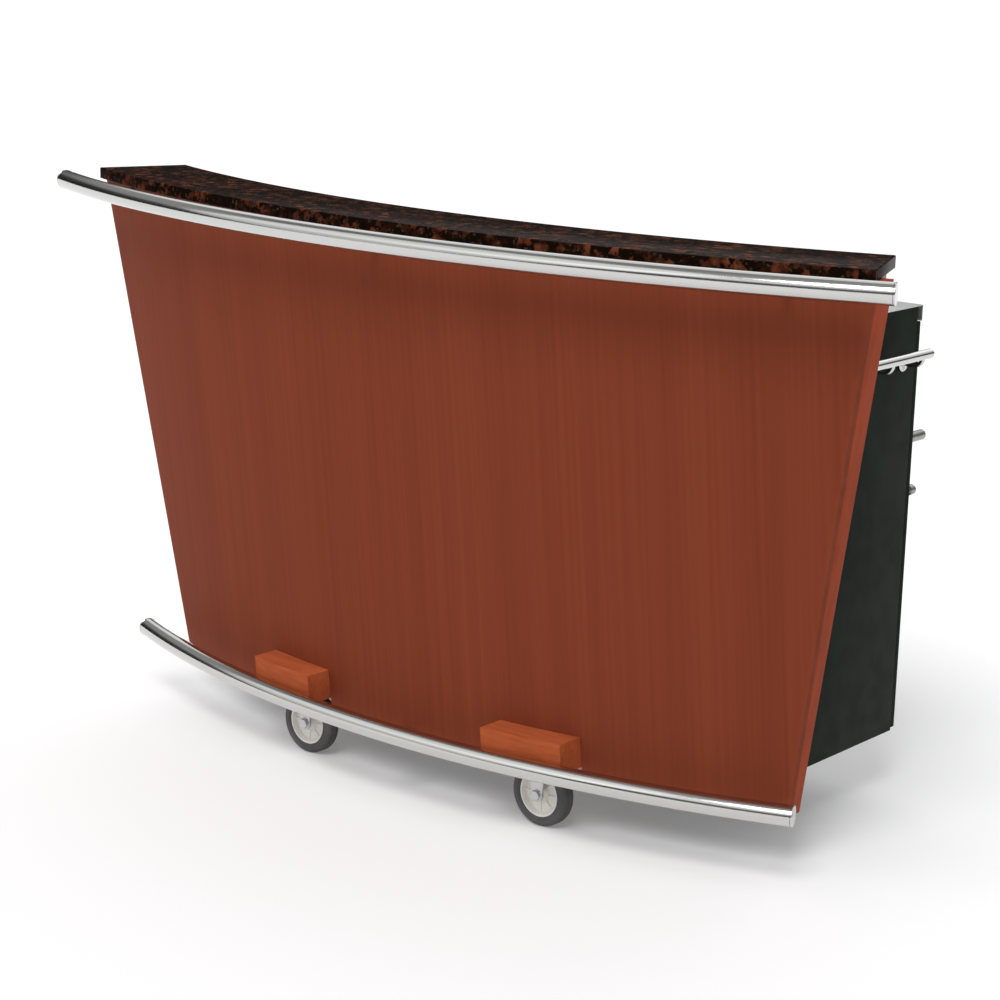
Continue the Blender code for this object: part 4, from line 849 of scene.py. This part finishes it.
def make_lid():
    low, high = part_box("ice_bin_lid")
    rim_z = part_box("ice_bin")[1].z
    barrel_r = 0.005
    axis_y, axis_z = low.y + barrel_r, rim_z - 0.002 + barrel_r
    start_y = axis_y + 0.010
    under, top = rim_z + 0.0012, rim_z + 0.0192
    shell = upright((low.x, start_y, under), (high.x, high.y, top), 0.012, 0.003)
    inside = upright((low.x + LID_SHEET, start_y + LID_SHEET, under - 0.01),
                     (high.x - LID_SHEET, high.y - LID_SHEET, top - LID_SHEET), 0.011, 0.002)
    field = upright((low.x + 0.035, start_y + 0.035, top - 0.0003), (high.x - 0.035, high.y - 0.085, top + 0.0006),
                    0.010, 0.0004)
    long = high.x * 0.6
    barrel = rod(barrel_r, (-long, axis_y, axis_z), (long, axis_y, axis_z), 0.0008)
    tongue = block((-long, axis_y, axis_z + 0.003), (long, start_y + 0.0006, axis_z + 0.005), 0.0004)
    grip_y, grip_r, grip_half, bend_r = high.y - 0.045, 0.004, 0.050, 0.012
    rise = high.z - grip_r - bend_r
    path = [(-grip_half, grip_y, top - 0.0005)]
    path += [(x, grip_y, z) for x, z in arc((bend_r - grip_half, rise), bend_r, 180, 90, 10)]
    path += [(-x, y, z) for x, y, z in reversed(path)]
    feet = [rod(0.009, (x, grip_y, top - 0.0003), (x, grip_y, top + 0.002), 0.0008) for x in (-grip_half, grip_half)]
    mesh = joined(cut_by(shell, inside), field, barrel, tongue, tube(path, grip_r), *feet)
    stand_in("ice_bin_lid", mesh, "sheet_steel", 40)


def make_bottle_rail():
    low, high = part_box("bottle_rail")
    sheet = Vector((TROUGH_SHEET, TROUGH_SHEET, TROUGH_SHEET))
    outer = eased(block(low, high), 0.0015)
    inner = block(low + sheet, (high.x - TROUGH_SHEET, high.y - TROUGH_SHEET, high.z + 0.05), 0.0008)
    slots = []
    for i in range(11):
        x = low.x + (high.x - low.x) * (i + 1) / 12
        for y in (low.y + 0.030, low.y + 0.070):
            slots.append(block((x - 0.010, y, low.z - 0.01), (x + 0.010, y + 0.005, low.z + 0.01)))
    stand_in("bottle_rail", cut_by(outer, inner, *slots), "sheet_steel", 40)
    hem = 0.0020
    y = high.y - hem
    edge = [(low.x + 0.001, y, high.z - hem * 0.4), (high.x - 0.001, y, high.z - hem * 0.4)]
    finish_piece("bottle_rail_hem", tube(edge, hem), "bar", "sheet_steel")
    y = low.y + TROUGH_SHEET
    points = [(side * (high.x - 0.012), y, z) for side, _ in SIDES for z in (high.z - 0.020, low.z + 0.030)]
    fixings("bottle_rail_screws", "bar", points, (0, 1, 0))


def make_drain():
    low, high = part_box("drain_pipe")
    pipe_r, bore_r, collar_r, nut_r = 0.013, 0.008, 0.023, 0.0145
    y = low.y + collar_r
    profile = [(bore_r, 0.0), (collar_r - 0.0005, 0.0), (collar_r, -0.0006), (collar_r, -0.0034),
               (collar_r - 0.0005, -0.004), (pipe_r + 0.001, -0.004), (pipe_r, -0.005), (pipe_r, -0.030),
               (nut_r, -0.031), (nut_r, -0.059), (pipe_r, -0.060), (pipe_r, -0.076)]
    for i in range(3):
        z = -0.077 - 0.004 * i
        profile += [(pipe_r - 0.0014, z), (pipe_r, z - 0.0034)]
    profile += [(pipe_r - 0.001, -0.090), (bore_r, -0.090), (bore_r, 0.0)]
    pipe = revolved(profile, Matrix.Translation((0.0, y, high.z)))
    start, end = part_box("drain_lever")
    z = (start.z + end.z) / 2
    boss = rod(0.008, (0.0, y + 0.0105, z), (0.0, high.y, z), 0.0008)
    stand_in("drain_pipe", joined(pipe, boss), "zinc")
    bar = block((start.x + 0.003, start.y, z - 0.006), (end.x, start.y + 0.003, z + 0.006), 0.0009)
    cap = rod(0.007, (0.0, start.y, z), (0.0, start.y + 0.0055, z), 0.0008, 6)
    screw = rod(0.0035, (0.0, start.y + 0.005, z), (0.0, end.y, z), 0.0006)
    ribs = [block((x, start.y + 0.0025, z - 0.0052), (x + 0.0025, start.y + 0.0038, z + 0.0052), 0.0004)
            for x in (0.030 + 0.005 * i for i in range(5))]
    stand_in("drain_lever", joined(bar, cap, screw, *ribs), "zinc")


# Doors and what is fixed to them

def make_door(side, word):
    refined("door_" + word, "laminate", 0.0012, 3)
    node = "door_knob_" + word
    low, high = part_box(node)
    long = high.y - low.y
    profile = [(0.0, long), (0.0085, long), *arc((0.0085, long - 0.0015), 0.0015, 90, 0, 4), (0.010, 0.0035)]
    profile += [*arc((0.0125, 0.0035), 0.0025, 180, 270, 5)][:-1] + [(0.011, 0.001), (0.011, 0.0), (0.0, 0.0)]
    place = facing((0, 1, 0), ((low.x + high.x) / 2, low.y, (low.z + high.z) / 2))
    stand_in(node, revolved(profile, place), "knob_steel")

    node = "latch_" + word
    low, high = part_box(node)
    axis_x = (low.x + high.x) / 2
    out, inner = high.y - DOOR_FACE, low.y - DOOR_FACE
    profile = [(0.0, out), (0.0082, out), *arc((0.0082, out - 0.0018), 0.0018, 90, 0, 4), (0.010, out - 0.016),
               (0.0065, out - 0.018), (0.0065, 0.006), (0.009, 0.0045), (0.0095, 0.0035), (0.0095, GAP),
               (0.005, GAP), (0.005, inner), (0.0, inner)]
    turn = revolved(profile, facing((0, 1, 0), (axis_x, DOOR_FACE, LATCH_Z)))
    slot = block((axis_x - 0.0012, high.y - 0.002, LATCH_Z - 0.008), (axis_x + 0.0012, high.y + 0.01, LATCH_Z + 0.008))
    cam = block((axis_x - 0.006, low.y, LATCH_Z - 0.016), (axis_x + 0.006, low.y + 0.003, LATCH_Z + 0.006), 0.0008)
    stand_in(node, joined(cut_by(turn, slot), cam), "knob_steel")


def hinge_plate(node, side, on_door):
    """A hinge's flat strap, with the arms and knuckles at its two working places; and the strap's x ends."""
    low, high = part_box(node)
    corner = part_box("divider_right")[0].x
    axis_x, axis_y = side * (corner + 0.003), DOOR_FACE + HINGE_PIN_R
    if on_door:
        outer = max(abs(low.x), abs(high.x))
        xs = sorted((side * outer, side * (outer - HINGE_LEAF_W)))
        ys = (DOOR_FACE + GAP, DOOR_FACE + GAP + HINGE_LEAF_T)
        arm_xs = sorted((axis_x, side * (outer - HINGE_LEAF_W / 2)))
        arm_ys = ys
    else:
        face = side * (corner - GAP)
        xs = sorted((face, face - side * HINGE_LEAF_T))
        ys = (CARCASS_REAR - HINGE_LEAF_W, CARCASS_REAR - GAP)
        arm_xs = xs
        arm_ys = (CARCASS_REAR - HINGE_LEAF_W / 2, axis_y)
    pieces = [block((xs[0], ys[0], low.z), (xs[1], ys[1], high.z), 0.0005, 2)]
    for middle in HINGE_MIDDLES:
        start, end = (middle + GAP, middle + HINGE_HALF) if on_door else (middle - HINGE_HALF, middle - GAP)
        pieces.append(rod(HINGE_PIN_R, (axis_x, axis_y, start), (axis_x, axis_y, end), 0.0006, 32))
        pieces.append(block((arm_xs[0], arm_ys[0], start), (arm_xs[1], arm_ys[1], end), 0.0004, 2))
    return joined(*pieces), xs


def make_hinges(side, word):
    heights = [0.255 + 0.080 * i for i in range(8)]
    node = "cabinet_hinge_" + word
    mesh, xs = hinge_plate(node, side, False)
    stand_in(node, mesh, "zinc")
    points = [(min(xs, key=abs), CARCASS_REAR - HINGE_LEAF_W * 0.72, z) for z in heights]
    fixings("cabinet_hinge_screws_" + word, "bar", points, (-side, 0, 0), 0.0035, 0.0009)
    node = "door_hinge_" + word
    mesh, xs = hinge_plate(node, side, True)
    stand_in(node, mesh, "zinc")
    x = max(xs, key=abs) - side * HINGE_LEAF_W * 0.3
    points = [(x, DOOR_FACE + GAP + HINGE_LEAF_T, z) for z in heights]
    fixings("door_hinge_screws_" + word, "door_" + word, points, (0, 1, 0), 0.0035, 0.0012)


# Rails' fittings and push handles

def make_handle(side, word):
    node = "push_handle_" + word
    low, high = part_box(node)
    inner = min((low.x, high.x), key=abs)
    outer = max((low.x, high.x), key=abs)
    x, z = outer - side * HANDLE_CAD_R, high.z - HANDLE_CAD_R
    pieces = [rod(HANDLE_R, (x, low.y, z), (x, high.y, z), 0.002)]
    foot_z = low.z + FOOT_R
    bend = z - foot_z - HANDLE_R / 2
    points = []
    for y in HANDLE_POSTS_Y:
        sweep = [(inner + side * FOOT_T / 2, y, foot_z)]
        for i in range(13):
            t = QUARTER * i / 12
            sweep.append((x - side * bend + side * bend * math.sin(t), y, foot_z + bend - bend * math.cos(t)))
        pieces.append(tube(sweep, POST_R))
        for radius, start, end, ease in ((FOOT_R, 0.0, FOOT_T, 0.0008),
                                         (POST_R + 0.002, FOOT_T * 0.9, FOOT_T + 0.002, 0.0015)):
            pieces.append(rod(radius, (inner + side * start, y, foot_z), (inner + side * end, y, foot_z), ease))
        spots = ((-0.0095, 0), (0.0095, 0), (0, -0.0095))
        points += [(inner + side * FOOT_T, y + dy, foot_z + dz) for dy, dz in spots]
    stand_in(node, joined(*pieces), "rail_steel")
    fixings(node + "_screws", "bar", points, (side, 0, 0), 0.0026, 0.0010)


def make_fittings():
    for word in ("left", "middle", "right"):
        refined("top_rail_foot_" + word, "rail_steel", 0.0006, 2)
    node = "foot_rail_strap"
    refined(node, "sheet_steel", 0.0006, 2)
    low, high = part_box(node)
    spots = [on_surface(node, (x, low.y - 0.2, low.z + 0.009), (0, 1, 0)) for x in (-0.008, 0.008)]
    fixings("strap_screws", "bar", [spot for spot, _ in spots], spots[0][1], 0.0032, 0.0012)
    for _, word in SIDES:
        node = "top_bracket_" + word
        refined(node, "zinc", 0.0006, 2)
        low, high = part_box(node)
        x = (low.x + high.x) / 2
        spots = [on_surface(node, (x, high.y + 0.1, low.z + up), (0, -1, 0)) for up in (0.014, 0.044)]
        fixings(node + "_wall_screws", "bar", [spot for spot, _ in spots], spots[0][1], 0.0045, 0.0020)
        spots = [on_surface(node, (x, high.y - back, low.z - 0.1), (0, 0, 1)) for back in (0.016, 0.042)]
        fixings(node + "_board_screws", "bar", [spot for spot, _ in spots], (0, 0, -1), 0.0045, 0.0020)


# Casters

def wheel_profiles():
    """Tyre and hub outlines as (radius, height) points about the axle."""
    half = TYRE_W / 2
    crown = arc((WHEEL_R - 0.009, half - 0.009), 0.009, 68, 0, 9)
    tyre = [(RIM_R, half - 0.001), (RIM_R + 0.002, half - 0.0002), (WHEEL_R - 0.016, half),
            (WHEEL_R - 0.0155, half - 0.0006), (WHEEL_R - 0.0145, half - 0.0006), (WHEEL_R - 0.014, half),
            (WHEEL_R - 0.008, half - 0.0004), *crown, (WHEEL_R, 0.0062), (WHEEL_R - 0.0010, 0.0057),
            (WHEEL_R - 0.0010, 0.0047), (WHEEL_R, 0.0042)]
    tyre = tyre + [(r, -z) for r, z in reversed(tyre)] + [tyre[0]]
    web, lip, rim = 0.005, RIM_R - 0.006, half - 0.002
    hub = [(0.0061, half), (0.0145, half), (0.015, half - 0.0005), (0.0165, web + 0.002), (0.0185, web),
           (lip - 0.0025, web), (lip - 0.0002, web + 0.0025), (lip + 0.0015, rim - 0.0006), (lip + 0.0022, rim),
           (RIM_R - GAP - 0.0006, rim), (RIM_R - GAP, rim - 0.0006)]
    hub = hub + [(r, -z) for r, z in reversed(hub)] + [hub[0]]
    return tyre, hub


def make_wheel(word, centre):
    tyre, hub = wheel_profiles()
    place = facing((0, 1, 0), centre)
    stand_in("caster_tyre_" + word, revolved(tyre, place, 96), "rubber")
    values = {"Count": 8, "Inner Radius": 0.0155, "Outer Radius": RIM_R - 0.0060, "Thickness": 0.0024,
              "Height": 0.0140, "Material": FINISH["nylon"]}
    ribs = eased(run_tree("ribs", RING_OF_RIBS, values), 0.0005, 2)
    ribs.transform(place)
    stand_in("caster_hub_" + word, joined(revolved(hub, place, 72), ribs), "nylon", 40)


def make_caster(word, swivels):
    node = "caster_fork_" + word
    low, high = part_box("caster_plate_" + word if swivels else node)
    x, y = (low.x + high.x) / 2, (low.y + high.y) / 2
    axle_x = x - TRAIL if swivels else x
    under = high.z - CASTER_PLATE_T
    fork_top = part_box(node)[1].z
    top = fork_top - RACE_H if swivels else under + CASTER_PLATE_T / 2
    leg = TYRE_W / 2 + FORK_CLEAR
    outer = leg + FORK_T
    reach = outer + 0.006

    def across(radius, start, end, *shape):
        """A round piece on the axle's line."""
        return rod(radius, (axle_x, y + start, WHEEL_R), (axle_x, y + end, WHEEL_R), *shape)

    pieces = [block((x - CROWN_HALF, y - outer, top - FORK_T), (x + CROWN_HALF, y + outer, top), 0.0012)]
    outline = [(x - CROWN_HALF, top - 0.0005), (x + CROWN_HALF, top - 0.0005)]
    outline += arc((axle_x, WHEEL_R), 0.013, 20, -200, 22)
    for start, end in ((leg, outer), (-outer, -leg)):
        pieces.append(extruded(outline, y + start, y + end, 0.0007))
    pieces.append(across(AXLE_R, 0.001 - reach, reach - 0.001, 0.0008))
    for sign in (-1, 1):
        pieces.append(across(0.010, sign * (outer - 0.0005), sign * (reach - 0.0004), 0.0007, 6))
        pieces.append(across(0.0115, sign * (outer - 0.0005), sign * (outer + 0.0012), 0.0003))
    half_y = (high.y - low.y) / 2 if swivels else FRONT_PLATE_HALF
    plate = upright((low.x, y - half_y, under), (high.x, y + half_y, high.z), 0.008, 0.0006)
    if swivels:
        race = [(0.0, -0.0003), (0.027, -0.0003), (RACE_R, -0.002), (RACE_R, -0.0042), (0.0268, -0.0052),
                (0.0268, -0.0066), (RACE_R, -0.0076), (RACE_R, -RACE_H - 0.001), (0.0, -RACE_H - 0.001)]
        pieces.append(revolved(race, Matrix.Translation((x, y, fork_top)), 72))
        pieces.append(rod(0.0085, (x, y, top - 0.0085), (x, y, top - FORK_T + 0.001), 0.0008, 6))
        stand_in("caster_plate_" + word, plate, "zinc")
    else:
        pieces.append(plate)
    stand_in(node, joined(*pieces), "zinc", 35)
    bolts = [(x + dx * 0.040, y + dy * 0.032, under) for dx in (-1, 1) for dy in (-1, 1)]
    fixings("caster_bolts_" + word, "bar", bolts, (0, 0, -1), 0.0058, 0.0042, False)
    make_wheel(word, (axle_x, y, WHEEL_R))
    if swivels:
        make_pedal(word)


def make_pedal(word):
    node = "brake_pedal_" + word
    low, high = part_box(node)
    pin_r = 0.004
    axis_x, axis_z = high.x - pin_r, low.z + pin_r
    plate = block((low.x, low.y, axis_z - 0.0015), (axis_x, high.y, axis_z + 0.0015), 0.0006)
    lip = block((low.x, low.y, axis_z - 0.0010), (low.x + 0.003, high.y, high.z), 0.0009)
    pin = rod(pin_r, (axis_x, low.y, axis_z), (axis_x, high.y, axis_z), 0.0005)
    ribs = [block((x, low.y + 0.004, axis_z + 0.0010), (x + 0.0025, high.y - 0.004, axis_z + 0.0026), 0.0005)
            for x in (low.x + 0.008 + 0.006 * i for i in range(4))]
    stand_in(node, joined(plate, lip, pin, *ribs), "zinc")


# Studio and camera

def make_studio():
    """A plain pale floor, an even soft light from above, and white behind."""
    bm = bmesh.new()
    bmesh.ops.create_grid(bm, x_segments=1, y_segments=1, size=40.0)
    floor = new_object("floor", mesh_of(bm))
    floor.location.z = -0.0002
    made, tree, shader = start_material("pale_floor", Base_Color=(0.84, 0.84, 0.85, 1.0), Roughness=0.9,
                                        Specular_IOR_Level=0.1)
    path = tree.add("ShaderNodeLightPath")
    seen = tree.calc("MAXIMUM", path.outputs["Is Camera Ray"], path.outputs["Is Glossy Ray"])
    strength = tree.calc("MULTIPLY", seen, 0.16)
    glow = tree.add("ShaderNodeEmission", {"Color": (1.0, 1.0, 1.0, 1.0), "Strength": strength})
    total = tree.add("ShaderNodeAddShader", {0: shader.outputs["BSDF"], 1: glow.outputs["Emission"]})
    tree.feed(made.node_tree.nodes["Material Output"], {"Surface": total.outputs["Shader"]})
    floor.data.materials.append(made)

    world = bpy.data.worlds.new("studio")
    bpy.context.scene.world = world
    world.use_nodes = True
    tree = Tree(world.node_tree)
    background = world.node_tree.nodes["Background"]
    path = tree.add("ShaderNodeLightPath")
    axes = tree.axes(tree.add("ShaderNodeTexCoord").outputs["Generated"])
    ramp = tree.add("ShaderNodeValToRGB", {"Fac": axes["Z"]})
    stops = ((0.0, 0.06), (0.12, 0.08), (0.27, 0.15), (0.37, 0.85), (0.52, 1.0), (0.68, 0.45), (1.0, 0.34))
    elements = ramp.color_ramp.elements
    while len(elements) < len(stops):
        elements.new(0.5)
    for element, (position, level) in zip(elements, stops):
        element.position = position
        element.color = (level, level, level, 1.0)
    # Darker to the bar's left, where the photographed rails reflect a darker part of the room
    shade = {0: ramp.outputs["Color"], "Scale": tree.spread(axes["X"], -0.85, -0.05, 0.34, 1.0)}
    mirrored = tree.add("ShaderNodeVectorMath", shade, operation="SCALE").outputs["Vector"]
    soft = tree.blend(path.outputs["Is Glossy Ray"], (0.50, 0.50, 0.50, 1.0), mirrored)
    colour = tree.blend(path.outputs["Is Camera Ray"], soft, (1.0, 1.0, 1.0, 1.0))
    tree.feed(background, {"Color": colour, "Strength": 1.0})

    lamps = (("key", 1.75, 28.0, (40.0, 0.0, 20.0)), ("fill", 0.5, 60.0, (60.0, 0.0, -40.0)),
             ("back", 0.5, 60.0, (-50.0, 0.0, 30.0)))
    for name, strength, softness, turn in lamps:
        lamp = bpy.data.lights.new(name, "SUN")
        lamp.energy = strength
        lamp.angle = math.radians(softness)
        obj = new_object(name, lamp)
        obj.rotation_euler = [math.radians(a) for a in turn]


def make_camera():
    yaw, pitch, roll = CAMERA_YAW, CAMERA_PITCH, CAMERA_ROLL
    forward = Vector((-math.sin(yaw) * math.cos(pitch), math.cos(yaw) * math.cos(pitch), -math.sin(pitch)))
    level = Vector((math.cos(yaw), math.sin(yaw), 0.0))
    upward = level.cross(forward)
    right = level * math.cos(roll) + upward * math.sin(roll)
    up = upward * math.cos(roll) - level * math.sin(roll)
    lens = bpy.data.cameras.new("camera")
    lens.lens = lens.sensor_width * FOCAL_PX / FRAME_PX
    lens.shift_x = -CENTRE_PX[0] / FRAME_PX
    lens.shift_y = CENTRE_PX[1] / FRAME_PX
    camera = new_object("camera", lens)
    place = Matrix((right, up, -forward)).transposed().to_4x4()
    place.translation = CAMERA_TARGET - forward * CAMERA_DISTANCE
    camera.matrix_world = place
    bpy.context.scene.camera = camera
    bpy.context.scene.view_settings.view_transform = "Standard"


def dress_rest():
    """Gives every CAD node that still shows its finish."""
    finishes = {"black_laminate": "laminate", "stainless": "sheet_steel", "tyre": "rubber", "hub": "nylon"}
    slots = {item["node"]: item["material_slot"] for item in frame["record"]["subparts"]}
    for node, obj in frame["nodes"].items():
        slot = slots[node]
        obj.data.materials.clear()
        obj.data.materials.append(FINISH[finishes.get(slot, slot)])


make_camera()
make_studio()
make_wall()
make_top()
make_rails()
for word in ("left", "right"):
    refined("caster_block_" + word, "block_wood", 0.0015)
make_cabinet()
make_bin()
make_lid()
make_bottle_rail()
make_drain()
for side, word in SIDES:
    make_door(side, word)
    make_hinges(side, word)
    make_handle(side, word)
    make_caster("front_" + word, False)
    make_caster("rear_" + word, True)
make_fittings()
dress_rest()
